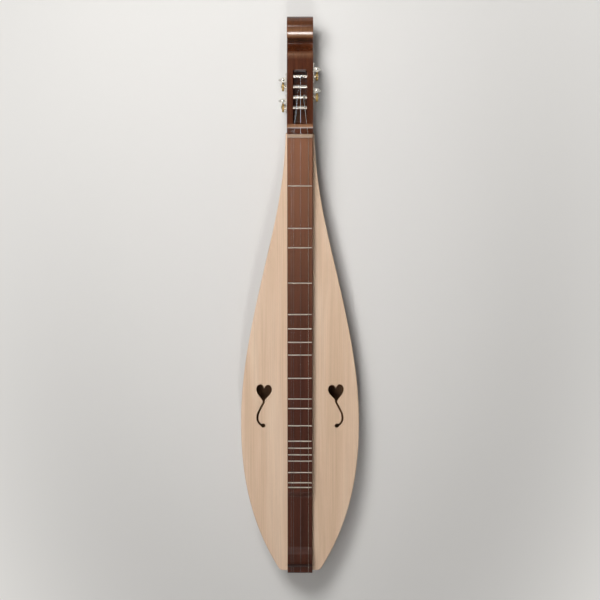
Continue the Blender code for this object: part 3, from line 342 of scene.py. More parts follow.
def mesh_of(name, parts, finish, crease=35):
    """Joins parts into one mesh, closes its seams, turns its faces outwards and keeps edges over the angle sharp."""
    mesh = bpy.data.meshes.new(name)
    starts = np.cumsum([0] + [len(points) for points, _ in parts])
    faces = [face for (_, part), start in zip(parts, starts) for face in (np.asarray(part) + start).tolist()]
    mesh.from_pydata(np.concatenate([points for points, _ in parts]), [], faces)
    work = bmesh.new()
    work.from_mesh(mesh)
    bmesh.ops.remove_doubles(work, verts=work.verts, dist=0.000001)
    bmesh.ops.recalc_face_normals(work, faces=work.faces)
    work.to_mesh(mesh)
    work.free()
    mesh.shade_smooth()
    mesh.set_sharp_from_angle(angle=math.radians(crease))
    mesh.materials.append(finish)
    return mesh


def point_values(mesh, name, kind, values):
    """Stores a number or a vector for each point of a mesh, worked out from an array of the points."""
    points = np.empty(len(mesh.vertices) * 3)
    mesh.vertices.foreach_get("co", points)
    field = "vector" if kind == "FLOAT_VECTOR" else "value"
    mesh.attributes.new(name, kind, "POINT").data.foreach_set(field, values(points.reshape(-1, 3)).ravel())


def place(name, mesh, slot, *nodes, body="instrument"):
    """Shows a mesh as a piece that rides on a body and stands for the CAD nodes named; the slot argument is not used.
    """
    piece = bpy.data.objects.new(name, mesh)
    bpy.context.scene.collection.objects.link(piece)
    # Flat faces keep their own normal, so that rounded edges don't bend the reflections on them
    shading = piece.modifiers.new("flat faces shade flat", "WEIGHTED_NORMAL")
    shading.keep_sharp, shading.weight = True, 100
    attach(piece, body)
    if nodes:
        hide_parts(*nodes)
    return piece


def outward(loop):
    """Normals of a closed flat loop, away from its inside, lengthened at corners so that an offset stays true."""
    ahead = np.roll(loop, -1, axis=0) - loop
    ahead /= np.linalg.norm(ahead, axis=1, keepdims=True)
    behind = np.roll(ahead, 1, axis=0)
    middle = ahead + behind
    middle /= np.linalg.norm(middle, axis=1, keepdims=True)
    area = np.sum(loop[:, 0] * np.roll(loop[:, 1], -1) - np.roll(loop[:, 0], -1) * loop[:, 1])
    turned = np.stack([middle[:, 1], -middle[:, 0]], axis=1) * np.sign(area)
    mitre = np.sqrt(2 / np.clip(1 + np.sum(ahead * behind, axis=1), 0.5, 2))
    return turned * mitre[:, None]


def rings_round(loop, normals, offsets, heights):
    """A loop repeated at several offsets along its normals and heights, as rows of points."""
    offsets, heights = np.asarray(offsets, float), np.asarray(heights, float)
    flat = loop[None] + normals[None] * offsets.reshape(len(heights), -1, 1)
    lift = np.broadcast_to(heights[:, None, None], (*flat.shape[:2], 1))
    return np.concatenate([flat, lift], axis=2)


def faces_round_hole(outline, hole, outline_cuts, hole_cuts):
    """Two flat faces that fill the space between an outline and a hole, meeting along two cuts between them.

    Both loops run the same way round. A cut joins one point of the outline to one of the hole.
    """
    def stretch(count, start, end):
        return (start + np.arange((end - start) % count + 1)) % count

    total, count = len(outline), len(hole)
    points = np.concatenate([outline, hole])
    (a, b), (c, d) = outline_cuts, hole_cuts
    first = np.concatenate([stretch(total, a, b), total + stretch(count, c, d)[::-1]])
    second = np.concatenate([stretch(total, b, a), total + stretch(count, d, c)[::-1]])
    return [(points, first[None]), (points, second[None])]


def carried_tube(path, normals, radii, sides=10):
    """A round tube along a path: circles square to the path, each starting from the normal given there."""
    along = np.gradient(path, axis=0)
    along /= np.linalg.norm(along, axis=1, keepdims=True)
    normals = normals - along * np.sum(normals * along, axis=1, keepdims=True)
    normals /= np.linalg.norm(normals, axis=1, keepdims=True)
    across = np.cross(along, normals)
    angles = np.linspace(0.0, 2 * math.pi, sides, endpoint=False)[None, :, None]
    radii = np.broadcast_to(radii, len(path))[:, None, None]
    return path[:, None] + radii * (np.cos(angles) * normals[:, None] + np.sin(angles) * across[:, None])


def turned(profile, steps=40):
    """A profile of (radius, height) points turned about Z; its first and last points lie on the axis."""
    angles = np.linspace(0.0, 2 * math.pi, steps, endpoint=False)
    r, z = np.array(profile, float).T[:, :, None]
    return surface(np.stack([r * np.cos(angles), r * np.sin(angles), z + 0 * angles], axis=2), close_columns=True)


def moved(part, columns, origin):
    """A part whose X, Y and Z become the three directions given as columns, from a new origin."""
    points, faces = part
    return points @ np.array(columns, float) + np.array(origin, float), faces


# Sound box

def edge_with_corner(side):
    """One edge of the teardrop from the neck to the tail, its tail corner rounded by a quadratic curve."""
    along = np.linspace(BODY_START, BODY_END, EDGE_STEPS)
    edge = np.stack([half_width(along, OUTLINE_INSET), y_at(along)], axis=1)
    corner = edge[-1]
    edge = edge[along < BODY_END - TAIL_CORNER]
    start, end = edge[-1], corner - [TAIL_CORNER, 0.0]
    q = np.linspace(0.0, 1.0, 8)[1:, None]
    curve = (1 - q)**2 * start + 2 * q * (1 - q) * corner + q**2 * end
    return np.concatenate([edge, curve]) * [side, 1.0]


def nose(loop, rounded, low, high):
    """A plate's edge: half an ellipse carried round the outline, flat where "rounded" is nought."""
    angles = np.linspace(-math.pi / 2, math.pi / 2, 9)
    offsets = -NOSE_DEPTH * (1 - np.cos(angles))[:, None] * rounded[None]
    heights = (low + high) / 2 + (high - low) / 2 * np.sin(angles)
    return rings_round(loop, outward(loop), offsets, heights)


def heart_with_stem():
    """The bass sound hole as one loop, drawn about the heart's centre.

    The heart's width is the cube of a sine and its lobes are a sum of cosines. Its point runs into a band along a
    smooth route, which ends in a circle. Each shape keeps only the points that lie outside the other two.
    """
    t = np.linspace(0.0, 2 * math.pi, 240, endpoint=False)
    lobes = 13 * np.cos(t) - 5 * np.cos(2 * t) - 2 * np.cos(3 * t) - np.cos(4 * t)
    x = np.sin(t)**3 * HEART_WIDTH / 2
    y = (lobes - (lobes.max() + lobes.min()) / 2) / np.ptp(lobes) * HEART_HEIGHT
    c, s = math.cos(HEART_TURN), math.sin(HEART_TURN)
    heart = np.stack([c * x - s * y, s * x + c * y], axis=1)
    route = smooth_route(np.array([(0.0, -0.0080), *STEM_ROUTE]), 24)
    along = np.gradient(route, axis=0)
    along /= np.linalg.norm(along, axis=1, keepdims=True)
    across = np.stack([-along[:, 1], along[:, 0]], axis=1) * STEM_WIDTH / 2
    centre = route[-1]
    first = math.atan2(*(-along[-1])[::-1])
    turns = first + np.linspace(2 * math.pi, 0.0, 48)
    disc = centre + STEM_END_RADIUS * np.stack([np.cos(turns), np.sin(turns)], axis=1)

    def off_band(points):
        return np.linalg.norm(points[:, None] - route[None], axis=2).min(axis=1) > STEM_WIDTH / 2

    def off_disc(points):
        return np.linalg.norm(points - centre, axis=1) > STEM_END_RADIUS

    def off_heart(points):
        a, b = heart, np.roll(heart, -1, axis=0)
        over = (a[None, :, 1] > points[:, None, 1]) != (b[None, :, 1] > points[:, None, 1])
        cut = a[None, :, 0] + (points[:, None, 1] - a[None, :, 1]) / (b[:, 1] - a[:, 1] + 1e-12) * (b[:, 0] - a[:, 0])
        return (over & (points[:, None, 0] < cut)).sum(axis=1) % 2 == 0

    outer, inner = route + across, route - across
    down, up = heart[:121], heart[121:]
    loop = [down[off_band(down)], outer[off_heart(outer) & off_disc(outer)], disc[off_band(disc)],
            inner[off_heart(inner) & off_disc(inner)][::-1], up[off_band(up)]]
    loop = even_steps(np.concatenate(loop), 420)
    for _ in range(4):
        loop = (np.roll(loop, 1, axis=0) + 2 * loop + np.roll(loop, -1, axis=0)) / 4
    return loop


def even_steps(loop, count):
    """A closed loop of points spread evenly along its length."""
    closed = np.concatenate([loop, loop[:1]])
    length = np.concatenate([[0.0], np.cumsum(np.linalg.norm(np.diff(closed, axis=0), axis=1))])
    at = np.linspace(0.0, length[-1], count, endpoint=False)
    return np.stack([np.interp(at, length, column) for column in closed.T], axis=1)


def smooth_route(points, per_span):
    """A curve through the points: each span a cubic whose end slopes come from the points on either side."""
    ends = np.concatenate([[2 * points[0] - points[1]], points, [2 * points[-1] - points[-2]]])
    q = np.linspace(0.0, 1.0, per_span, endpoint=False)[None, :, None]
    p0, p1, p2, p3 = (ends[k:len(ends) - 3 + k, None] for k in range(4))
    spans = 0.5 * (2 * p1 + (p2 - p0) * q + (2 * p0 - 5 * p1 + 4 * p2 - p3) * q**2
                   + (3 * p1 - p0 - 3 * p2 + p3) * q**3)
    return np.concatenate([spans.reshape(-1, points.shape[1]), points[-1:]])


def add_soundboard(name, side, node):
    """Half of the top: a rounded nose round the outline, a softened sound hole, and two flat faces on each side.

    The flat faces meet along two cuts, from the hole's outermost point to the rim and its innermost to the seam.
    """
    hole = (heart_with_stem() + [HEART_X, y_at(HEART_ALONG)]) * [side, 1.0]
    reach = side * hole[:, 0]
    rim_cut, seam_cut = int(reach.argmax()), int(reach.argmin())
    edge = edge_with_corner(side)
    seam = side * GLUE_LINE / 2
    back = np.array([[seam, y_at(BODY_END)], [seam, hole[seam_cut, 1]], [seam, y_at(BODY_START)]])
    outline = np.concatenate([edge, back])
    rounded = np.concatenate([np.ones(len(edge)), np.zeros(3)])
    rounded[0] = 0.0
    rim = nose(outline, rounded, TOP_LOW, TOP_HIGH)
    angles = np.linspace(0.0, math.pi / 2, 5)
    offsets = np.concatenate([[0.0], HOLE_ARRIS * (1 - np.cos(angles))])
    heights = np.concatenate([[TOP_LOW], TOP_HIGH - HOLE_ARRIS * (1 - np.sin(angles))])
    # The rim's softening dies away at the notch between the lobes, where the loop starts and ends
    from_notch = np.minimum(np.arange(len(hole)), len(hole) - np.arange(len(hole)))
    softened = np.clip((from_notch - 2) / 10, 0.0, 1.0)
    wall = rings_round(hole, outward(hole), offsets[:, None] * softened[None], heights)
    edge_cut = int(np.abs(edge[:, 1] - hole[rim_cut, 1]).argmin())
    parts = [surface(rim, close_columns=True), surface(wall, close_columns=True)]
    for ring, inner in ((rim[-1], wall[-1]), (rim[0], wall[0])):
        parts += faces_round_hole(ring, inner, (edge_cut, len(outline) - 2), (rim_cut, seam_cut))
    place(name, mesh_of(name, parts, SPRUCE), "soundboard_wood", node)


def add_back():
    """The back in one piece, with the same rounded nose as the soundboards."""
    edge = edge_with_corner(1)
    outline = np.concatenate([edge, edge[::-1] * [-1, 1]])
    rounded = np.ones(len(outline))
    rounded[[0, -1]] = 0.0
    rim = nose(outline, rounded, BACK_LOW, BACK_HIGH)
    mesh = mesh_of("rounded_back", closed_tube(rim), WALNUT)
    mesh.materials.append(BARE_WALNUT)
    inside = max(mesh.polygons, key=lambda face: face.center.z * (len(face.vertices) > 4))
    inside.material_index = 1
    place("rounded_back", mesh, "walnut_body", "back")


def add_side(name, side, node):
    """A bent side: a thin upright rectangle carried along the outline, inside the plates' overhang."""
    along = np.linspace(BODY_START, BODY_END, EDGE_STEPS)
    outer = side * half_width(along, PLATE_OVERHANG)
    inner = side * half_width(along, PLATE_OVERHANG + SIDE_THICKNESS)
    corners = ((outer, SIDE_LOW), (outer, SIDE_HIGH), (inner, SIDE_HIGH), (inner, SIDE_LOW))
    section = np.stack([np.stack([x, y_at(along), np.full_like(x, z)], axis=1) for x, z in corners], axis=1)
    lengths = np.concatenate([[0.0], np.cumsum(np.hypot(np.diff(outer), np.diff(along)))])

    def along_the_bend(points):
        """Depth inside the outline, distance along it, and height; the bass side's grain is shifted to differ."""
        at = NUT_Y - points[:, 1]
        depth = half_width(at, PLATE_OVERHANG) - side * points[:, 0]
        return np.stack([depth + 0.1 * side, np.interp(at, along, lengths), points[:, 2]], axis=1)

    mesh = mesh_of(name, closed_tube(section), BENT_WALNUT)
    point_values(mesh, "along_the_bend", "FLOAT_VECTOR", along_the_bend)
    place(name, mesh, "walnut_body", node)


def add_tail_block():
    """The block between the sides' ends, set flush with them: a rectangle carried along the narrowing outline."""
    along = np.linspace(BODY_END - 0.040, BODY_END, 30)
    x = half_width(along, PLATE_OVERHANG + SIDE_THICKNESS + GLUE_LINE)
    corners = ((x, SIDE_LOW), (x, SIDE_HIGH), (-x, SIDE_HIGH), (-x, SIDE_LOW))
    section = np.stack([np.stack([wide, y_at(along), np.full_like(x, z)], axis=1) for wide, z in corners], axis=1)
    mesh = mesh_of("fitted_tail_block", closed_tube(section), WALNUT_BLOCK)
    place("fitted_tail_block", mesh, "walnut_body", "tail_block")


# Fretboard, frets, nut and bridge

BOARD_ARRIS = 0.0012
BOARD_END_ROUNDING = 0.0025
FRET_GAP = 0.00012
FRET_HALF, FRET_HEIGHT = 0.0010, 0.0010
TANG_HALF, TANG_DEPTH = 0.0003, 0.0016
FRET_REACH = BOARD_HALF - 0.0008
STRUM_START, STRUM_END, STRUM_DEPTH, STRUM_RAMP = 0.5640, 0.669, 0.0070, 0.0130
CHANNEL_HALF, CHANNEL_HEIGHT, CHANNEL_START, CHANNEL_END = 0.010, 0.006, 0.030, 0.545
NUT_SEAT_DEPTH, BRIDGE_SEAT_DEPTH, BRIDGE_SEAT_HALF = 0.0040, 0.0033, 0.0023


def fret_along(semitones):
    """Equal temperament: each semitone shortens the string by the twelfth root of two."""
    return SCALE_LENGTH * (1 - 2 ** (-semitones / 12))


def ramp(start, end, steps=18):
    """A smooth step between two (along, height) points: the height follows half a cosine wave."""
    q = np.linspace(0.0, 1.0, steps)
    return np.stack([start[0] + (end[0] - start[0]) * q,
                     start[1] + (end[1] - start[1]) * (1 - np.cos(math.pi * q)) / 2], axis=1)


def step_down(low_from, low_to, depth):
    """Four (along, height) points of a square slot in the board's top."""
    top, low = BOARD_HIGH, BOARD_HIGH - depth
    return [(low_from, top), (low_from, low), (low_to, low), (low_to, top)]


def add_fretboard():
    """A section with rounded upper edges carried along a line of heights: seats, slots and the strum hollow."""
    top, floor = BOARD_HIGH, BOARD_HIGH - STRUM_DEPTH
    slot = TANG_HALF + FRET_GAP
    line = [(BODY_START, top - NUT_SEAT_DEPTH), (FIT_GAP, top - NUT_SEAT_DEPTH), (FIT_GAP, top)]
    for semitones in SEMITONES_AT_FRETS:
        a = fret_along(semitones)
        line += step_down(a - slot, a + slot, TANG_DEPTH + FRET_GAP)
    line += [*ramp((STRUM_START, top), (STRUM_START + STRUM_RAMP, floor)),
             *ramp((STRUM_END - STRUM_RAMP, floor), (STRUM_END, top))]
    line += step_down(SCALE_LENGTH - BRIDGE_SEAT_HALF, SCALE_LENGTH + BRIDGE_SEAT_HALF, BRIDGE_SEAT_DEPTH)
    q = np.linspace(0.0, math.pi / 2, 9)
    line += [*np.stack([BODY_END - BOARD_END_ROUNDING * (1 - np.sin(q)),
                        top - BOARD_END_ROUNDING * (1 - np.cos(q))], axis=1)]
    line = np.array([tuple(p) for p in line])
    edges = [CHANNEL_START, CHANNEL_START, CHANNEL_END, CHANNEL_END]
    heights = np.interp(edges, *line.T)
    line = np.concatenate([line, np.stack([edges, heights], axis=1)])
    inside = np.concatenate([np.zeros(len(line) - 4), [0, 1, 1, 0]])
    order = np.lexsort((np.arange(len(line)), line[:, 0]))
    line, inside = line[order], inside[order]
    inside[(line[:, 0] > CHANNEL_START) & (line[:, 0] < CHANNEL_END)] = 1
    q = np.linspace(0.0, math.pi / 2, 6)
    corner_x, corner_z = BOARD_HALF - BOARD_ARRIS * (1 - np.cos(q)), -BOARD_ARRIS * (1 - np.sin(q))
    x = np.concatenate([[CHANNEL_HALF, CHANNEL_HALF, BOARD_HALF], corner_x, -corner_x[::-1],
                        [-BOARD_HALF, -CHANNEL_HALF, -CHANNEL_HALF]])
    under = CHANNEL_HEIGHT * inside
    low = np.full(len(line), BOARD_LOW)
    z = [low + under, low, low, *(line[:, 1] + d for d in corner_z), *(line[:, 1] + d for d in corner_z[::-1]),
         low, low, low + under]
    rows = np.stack([np.broadcast_to(x, (len(line), len(x))),
                     np.broadcast_to(y_at(line[:, :1]), (len(line), len(x))), np.stack(z, axis=1)], axis=2)
    mesh = mesh_of("hollowed_fretboard", closed_tube(rows), WALNUT_BOARD, 30)
    place("hollowed_fretboard", mesh, "walnut_fretboard", "fretboard")


def add_frets():
    """Fret wire: half an ellipse on a thin tang, its crown sinking in a quarter circle at both filed ends."""
    ends = FRET_REACH - 0.0010 * (1 - np.sin(np.linspace(0.0, math.pi / 2, 6)))
    x = np.concatenate([-ends[::-1], ends])
    rise = np.cos(np.linspace(0.0, math.pi / 2, 6)) * 0.92 + 0.08
    rise = np.concatenate([rise[::-1], rise])
    t = np.linspace(0.0, math.pi, 13)
    crown_low = BOARD_HIGH + FRET_GAP
    crown = crown_low + FRET_HEIGHT * rise[:, None] * np.sin(t)[None]
    tang_low = np.full((len(x), 1), BOARD_HIGH - TANG_DEPTH)
    foot = np.full((len(x), 1), crown_low)
    z = np.concatenate([crown, foot, tang_low, tang_low, foot], axis=1)
    offsets = np.concatenate([FRET_HALF * np.cos(t), [-TANG_HALF, -TANG_HALF, TANG_HALF, TANG_HALF]])
    for number, semitones in enumerate(SEMITONES_AT_FRETS, 1):
        y = np.broadcast_to(y_at(fret_along(semitones)) + offsets, z.shape)
        rings = np.stack([np.broadcast_to(x[:, None], z.shape), y, z], axis=2)
        name = f"fret_wire_{number:02d}"
        place(name, mesh_of(name, closed_tube(rings), NICKEL_SILVER), "nickel_silver", f"fret_{number:02d}")


# Strings

STRING_RADII = (0.00015, 0.00015, 0.00020, 0.00030)
STRINGS_AT_NUT = (-0.0135, -0.0100, 0.0010, 0.0130)
STRINGS_AT_BRIDGE = (-0.0140, -0.0105, 0.0010, 0.0135)
PINS_AT = (-0.0170, -0.0095, 0.0010, 0.0135)
STRINGS_AT_POST = (-0.0065, -0.0025, 0.0010, 0.0055)
STRING_POSTS = (0, 2, 3, 1)
NUT_THICKNESS, NUT_CREST, NUT_ABOVE, NUT_SLOPE = 0.0055, 0.0012, 0.0024, math.radians(25)
BRIDGE_HALF, BRIDGE_CREST, BRIDGE_ABOVE, BRIDGE_FOOT = 0.0020, 0.0009, 0.0052, 0.0010
STRING_SINK = 0.0002
NUT_LEVEL = BOARD_HIGH + NUT_ABOVE - STRING_SINK
BRIDGE_LEVEL = BOARD_HIGH + BRIDGE_ABOVE - STRING_SINK
NOTCH_ROOM = 0.00012
POST_RADIUS, POST_Z, FIRST_POST, POST_PITCH = 0.0030, 0.0510, 0.0470, 0.0163
# The loops touch each other and the post, apart from these small spaces; their count fills the CAD model's width
LOOPS = (5, 5, 4, 4)
LOOP_SPACE, POST_SPACE = 0.00009, 0.00005
PIN_Z, PIN_RADIUS, PIN_HEAD_RADIUS, PIN_REACH, PIN_HEAD, PIN_DEPTH = 0.040, 0.0012, 0.0021, 0.0036, 0.0010, 0.0140
WRAP_WIRE, WRAP_TURNS, WRAP_FROM, WRAP_TO = 0.00013, 8, 0.16, 0.36


def post_along(number):
    return FIRST_POST + number * POST_PITCH


def tangent_angle(centre, radius, point):
    """The angle on a circle's upper side where a line from the point touches it."""
    away = (point[0] - centre[0], point[1] - centre[1])
    return math.atan2(away[1], away[0]) - math.acos(radius / math.hypot(*away))


def loops_on_post(number):
    """The string's loops: a circle round the post that moves along it by its own thickness each turn."""
    radius = STRING_RADII[number]
    centre = (post_along(STRING_POSTS[number]), POST_Z)
    turn = POST_RADIUS + POST_SPACE + radius
    start = tangent_angle(centre, turn, (NUT_CREST / 2, NUT_LEVEL))
    turns = np.linspace(0.0, LOOPS[number], LOOPS[number] * 40 + 1)
    angles = start - 2 * math.pi * turns
    inwards = np.clip(turns - LOOPS[number] + 0.06, 0, None) / 0.06
    turn = turn * (1 - 0.6 * inwards**2)
    return np.stack([STRINGS_AT_POST[number] + (2 * radius + LOOP_SPACE) * turns,
                     y_at(-centre[0] - turn * np.cos(angles)), centre[1] + turn * np.sin(angles)], axis=1)


def string_past_nut(number, along):
    """The string's X and Z at distances behind the nut's crest, on the straight line that falls to the post."""
    touch = loops_on_post(number)[0]
    end = NUT_Y - touch[1]
    share = np.clip((along + NUT_CREST / 2) / (end + NUT_CREST / 2), 0.0, 1.0)
    return (STRINGS_AT_NUT[number] + (touch[0] - STRINGS_AT_NUT[number]) * share,
            NUT_LEVEL + (touch[2] - NUT_LEVEL) * share)


def add_string(number):
    """One string from its looped end to its post, with the thin wire that is wrapped round the loop's neck.

    The wrap is a helix round the straight stretch above the hitch pin, and its foot runs back to the loop.
    """
    radius = STRING_RADII[number]
    pin, bridge, nut = PINS_AT[number], STRINGS_AT_BRIDGE[number], STRINGS_AT_NUT[number]
    hook = PIN_RADIUS + POST_SPACE + radius
    plane = BODY_END + FIT_GAP + radius
    angles = np.linspace(math.pi, 2 * math.pi, 21)
    loop = np.stack([pin + hook * np.cos(angles), np.full(21, plane), PIN_Z + hook * np.sin(angles)], axis=1)
    bend = BOARD_END_ROUNDING + FIT_GAP + radius
    centre = (BODY_END - BOARD_END_ROUNDING, BOARD_HIGH - BOARD_END_ROUNDING)
    angles = np.linspace(0.0, tangent_angle(centre, bend, (SCALE_LENGTH, BRIDGE_LEVEL)), 13)
    over = np.stack([np.full(13, bridge), centre[0] + bend * np.cos(angles), centre[1] + bend * np.sin(angles)],
                    axis=1)
    crests = np.array([[bridge, SCALE_LENGTH + BRIDGE_CREST / 2, BRIDGE_LEVEL],
                       [bridge, SCALE_LENGTH - BRIDGE_CREST / 2, BRIDGE_LEVEL],
                       [nut, 0.0, NUT_LEVEL], [nut, -NUT_CREST / 2, NUT_LEVEL]])
    path = np.concatenate([loop, over, crests])
    path[:, 1] = y_at(path[:, 1])
    path = np.concatenate([path, loops_on_post(number)])
    normals = np.cross(np.gradient(path, axis=0), [1.0, 0.0, 0.0])
    normals[:len(loop)] = [0.0, 1.0, 0.0]
    thickness = np.full(len(path), radius)
    thickness[:len(loop) + 1] = min(radius, STRING_RADII[0])
    main = carried_tube(path, normals, thickness)

    foot, top = path[len(loop) - 1], path[len(loop)]
    q = np.linspace(WRAP_FROM, WRAP_TO, WRAP_TURNS * 14 + 1)
    phase = 2 * math.pi * WRAP_TURNS * (q - WRAP_FROM) / (WRAP_TO - WRAP_FROM)
    across = np.cross((top - foot) / np.linalg.norm(top - foot), [0.0, 1.0, 0.0])
    away = np.cos(phase)[:, None] * -across + np.sin(phase)[:, None] * np.array([0.0, 1.0, 0.0])
    helix = foot + (top - foot) * q[:, None] + away * (radius + WRAP_WIRE)
    q = np.linspace(0.0, 1.0, 8, endpoint=False)[:, None]
    leg = path[0] + (helix[0] - path[0]) * q
    wrap = carried_tube(np.concatenate([leg, helix]), np.concatenate([np.repeat(away[:1], 8, axis=0), away]),
                        WRAP_WIRE, 8)
    name = f"string_with_loop_{number + 1}"
    finish = NICKEL_WOUND if number == 3 else STRING_STEEL
    mesh = mesh_of(name, closed_tube(main) + closed_tube(wrap), finish, 60)
    steps = np.linalg.norm(np.diff(path, axis=0), axis=1)
    lengths = np.concatenate([[0.0], np.cumsum(steps)])

    def string_length(points):
        """The length of string up to the path's point nearest to each point."""
        nearest = np.linalg.norm(points[:, None] - path[None], axis=2).argmin(axis=1)
        return lengths[nearest]

    if number == 3:
        point_values(mesh, "string_length", "FLOAT", string_length)
    place(name, mesh, "string_steel", f"string_{number + 1}")


def add_hitch_nail(number):
    """A round-headed nail, turned about the string's hitching line."""
    q = np.linspace(0.0, math.pi / 2, 10)
    crown = PIN_HEAD_RADIUS * np.sin(q), PIN_REACH - PIN_HEAD * 0.75 * (1 - np.cos(q))
    profile = [*zip(*crown), (PIN_HEAD_RADIUS * 0.96, PIN_REACH - PIN_HEAD), (PIN_RADIUS, PIN_REACH - PIN_HEAD),
               (PIN_RADIUS, -PIN_DEPTH + PIN_RADIUS), (0.0, -PIN_DEPTH)]
    part = moved(turned(profile), ((1, 0, 0), (0, 0, 1), (0, -1, 0)), (PINS_AT[number], y_at(BODY_END), PIN_Z))
    name = f"hitch_nail_{number + 1}"
    place(name, mesh_of(name, [part], STRING_STEEL), "string_steel", f"hitch_pin_{number + 1}")


def notch_columns(places, half):
    """Where to put rows across the nut or bridge: every 1.2 mm, and closely on either side of each string."""
    near = np.linspace(-1.6, 1.6, 17) * 0.0004
    columns = [np.linspace(-half, half, 34), *(place + near for place in places)]
    ends = half - 0.0009 * (1 - np.sin(np.linspace(0.0, math.pi / 2, 6)))
    columns = np.unique(np.round(np.concatenate([*columns, ends, -ends]), 6))
    return columns[np.abs(columns) <= half]


def blocks_with_notches(columns, along, height, foot, half, routes):
    """A block across the board: its section's heights, lowered where a round notch follows each string's line."""
    x, a = np.meshgrid(columns, along, indexing="ij")
    z = np.broadcast_to(height, x.shape).copy()
    corner = np.clip((np.abs(columns) - half + 0.0009) / 0.0009, 0, 1)[:, None]
    z -= np.where(z > foot, 0.0009 * (1 - np.sqrt(1 - corner**2)), 0.0)
    for number, (at_x, at_z) in enumerate(routes):
        room = STRING_RADII[number] + NOTCH_ROOM
        inside = room**2 - (x - at_x)**2
        floor = at_z - np.sqrt(np.clip(inside, 0.0, None))
        z = np.where((inside > 0) & (z > foot), np.minimum(z, floor), z)
    return np.stack([x, y_at(a), z], axis=2)


def add_nut():
    """The nut's section: a rounded front edge, a short level crest and a slope that falls away behind."""
    top, low = BOARD_HIGH + NUT_ABOVE, BOARD_HIGH - NUT_SEAT_DEPTH + FIT_GAP
    q = np.linspace(0.0, math.pi / 2, 5)
    back_top = top - (NUT_THICKNESS - NUT_CREST) * math.tan(NUT_SLOPE)
    along = [0.0, *(-0.0005 * (1 - np.cos(q))), *np.linspace(-NUT_CREST, -NUT_THICKNESS + 0.0005, 8),
             *(-NUT_THICKNESS + 0.0005 * (1 - np.sin(q[1:]))), -NUT_THICKNESS]
    height = [low, *(top - 0.0005 * (1 - np.sin(q))), *np.linspace(top, back_top + 0.00023, 8),
              *(back_top - 0.0005 * (1 - np.cos(q[1:]))), low]
    along, half = np.array(along), BOARD_HALF - FIT_GAP
    routes = [string_past_nut(number, -along[None]) for number in range(4)]
    points = blocks_with_notches(notch_columns(STRINGS_AT_NUT, half), along, height, BOARD_HIGH, half, routes)
    place("notched_nut", mesh_of("notched_nut", closed_tube(points), BONE, 50), "nut_bone", "nut")


def add_bridge():
    """The bridge's section: straight feet, sloping faces and a rounded crest."""
    top, low = BOARD_HIGH + BRIDGE_ABOVE, BOARD_HIGH - 0.0030
    q = np.linspace(0.0, math.pi, 9)
    along = np.array([-BRIDGE_HALF, -BRIDGE_HALF, *(-BRIDGE_CREST * np.cos(q)), BRIDGE_HALF, BRIDGE_HALF])
    height = [low, BOARD_HIGH + BRIDGE_FOOT, *(top - BRIDGE_CREST * (1 - np.sin(q)) * 0.6),
              BOARD_HIGH + BRIDGE_FOOT, low]
    half = BOARD_HALF
    routes = [(x, BRIDGE_LEVEL) for x in STRINGS_AT_BRIDGE]
    points = blocks_with_notches(notch_columns(STRINGS_AT_BRIDGE, half), SCALE_LENGTH + along, height,
                                 BOARD_HIGH + BRIDGE_FOOT, half, routes)
    place("notched_bridge", mesh_of("notched_bridge", closed_tube(points), ROSEWOOD, 50), "bridge_wood", "bridge")


# Tuners

METAL_X, PLATE_METAL = 0.0208, 0.0012
PLATE_FORWARD, PLATE_BACKWARD, PLATE_HALF_HEIGHT, PLATE_CORNER = 0.0210, 0.0090, 0.0088, 0.0030
GEAR_X, GEAR_WIDTH, GEAR_TEETH, GEAR_MODULE, BACKLASH = 0.0265, 0.0034, 15, 0.00092, 0.00036
THREAD_PITCH = math.pi * GEAR_MODULE
GEAR_PITCH_RADIUS, WORM_PITCH_RADIUS = GEAR_MODULE * GEAR_TEETH / 2, 0.0031
ADDENDUM, DEDENDUM, FLANK = 0.8 * GEAR_MODULE, 1.2 * GEAR_MODULE, math.tan(math.radians(20))
WORM_DISTANCE = GEAR_PITCH_RADIUS + WORM_PITCH_RADIUS
WORM_LENGTH, SHAFT_RADIUS, SPIGOT_RADIUS, TURN_GAP = 0.0082, 0.0019, 0.0017, 0.0004
LUG_THICKNESS, LUG_HALF, SHAFT_ABOVE_LUG = 0.0014, 0.0038, 0.0016
POST_SCREW_RADIUS, POST_SCREW_HEIGHT, POST_FAR_END = 0.0030, 0.0012, 0.01675
BUTTON_TOP, BUTTON_HEIGHT, BUTTON_HALF, BUTTON_THICK = 0.0255, 0.0150, 0.0080, 0.0033
SCREW_RADIUS, SCREW_HEIGHT = 0.0014, 0.0008


def post_side(number):
    """The posts' gears alternate between the treble side (-1) and the bass side (1)."""
    return -1 if number % 2 == 0 else 1


def tooth_profile(off, pitch_radius):
    """A radius that rises from the root to the tip over sloping flanks, by the distance off a tooth's middle."""
    middle = ((THREAD_PITCH / 2 - BACKLASH) / 2 - np.abs(off)) / FLANK
    return pitch_radius + np.clip(middle, -DEDENDUM, ADDENDUM)


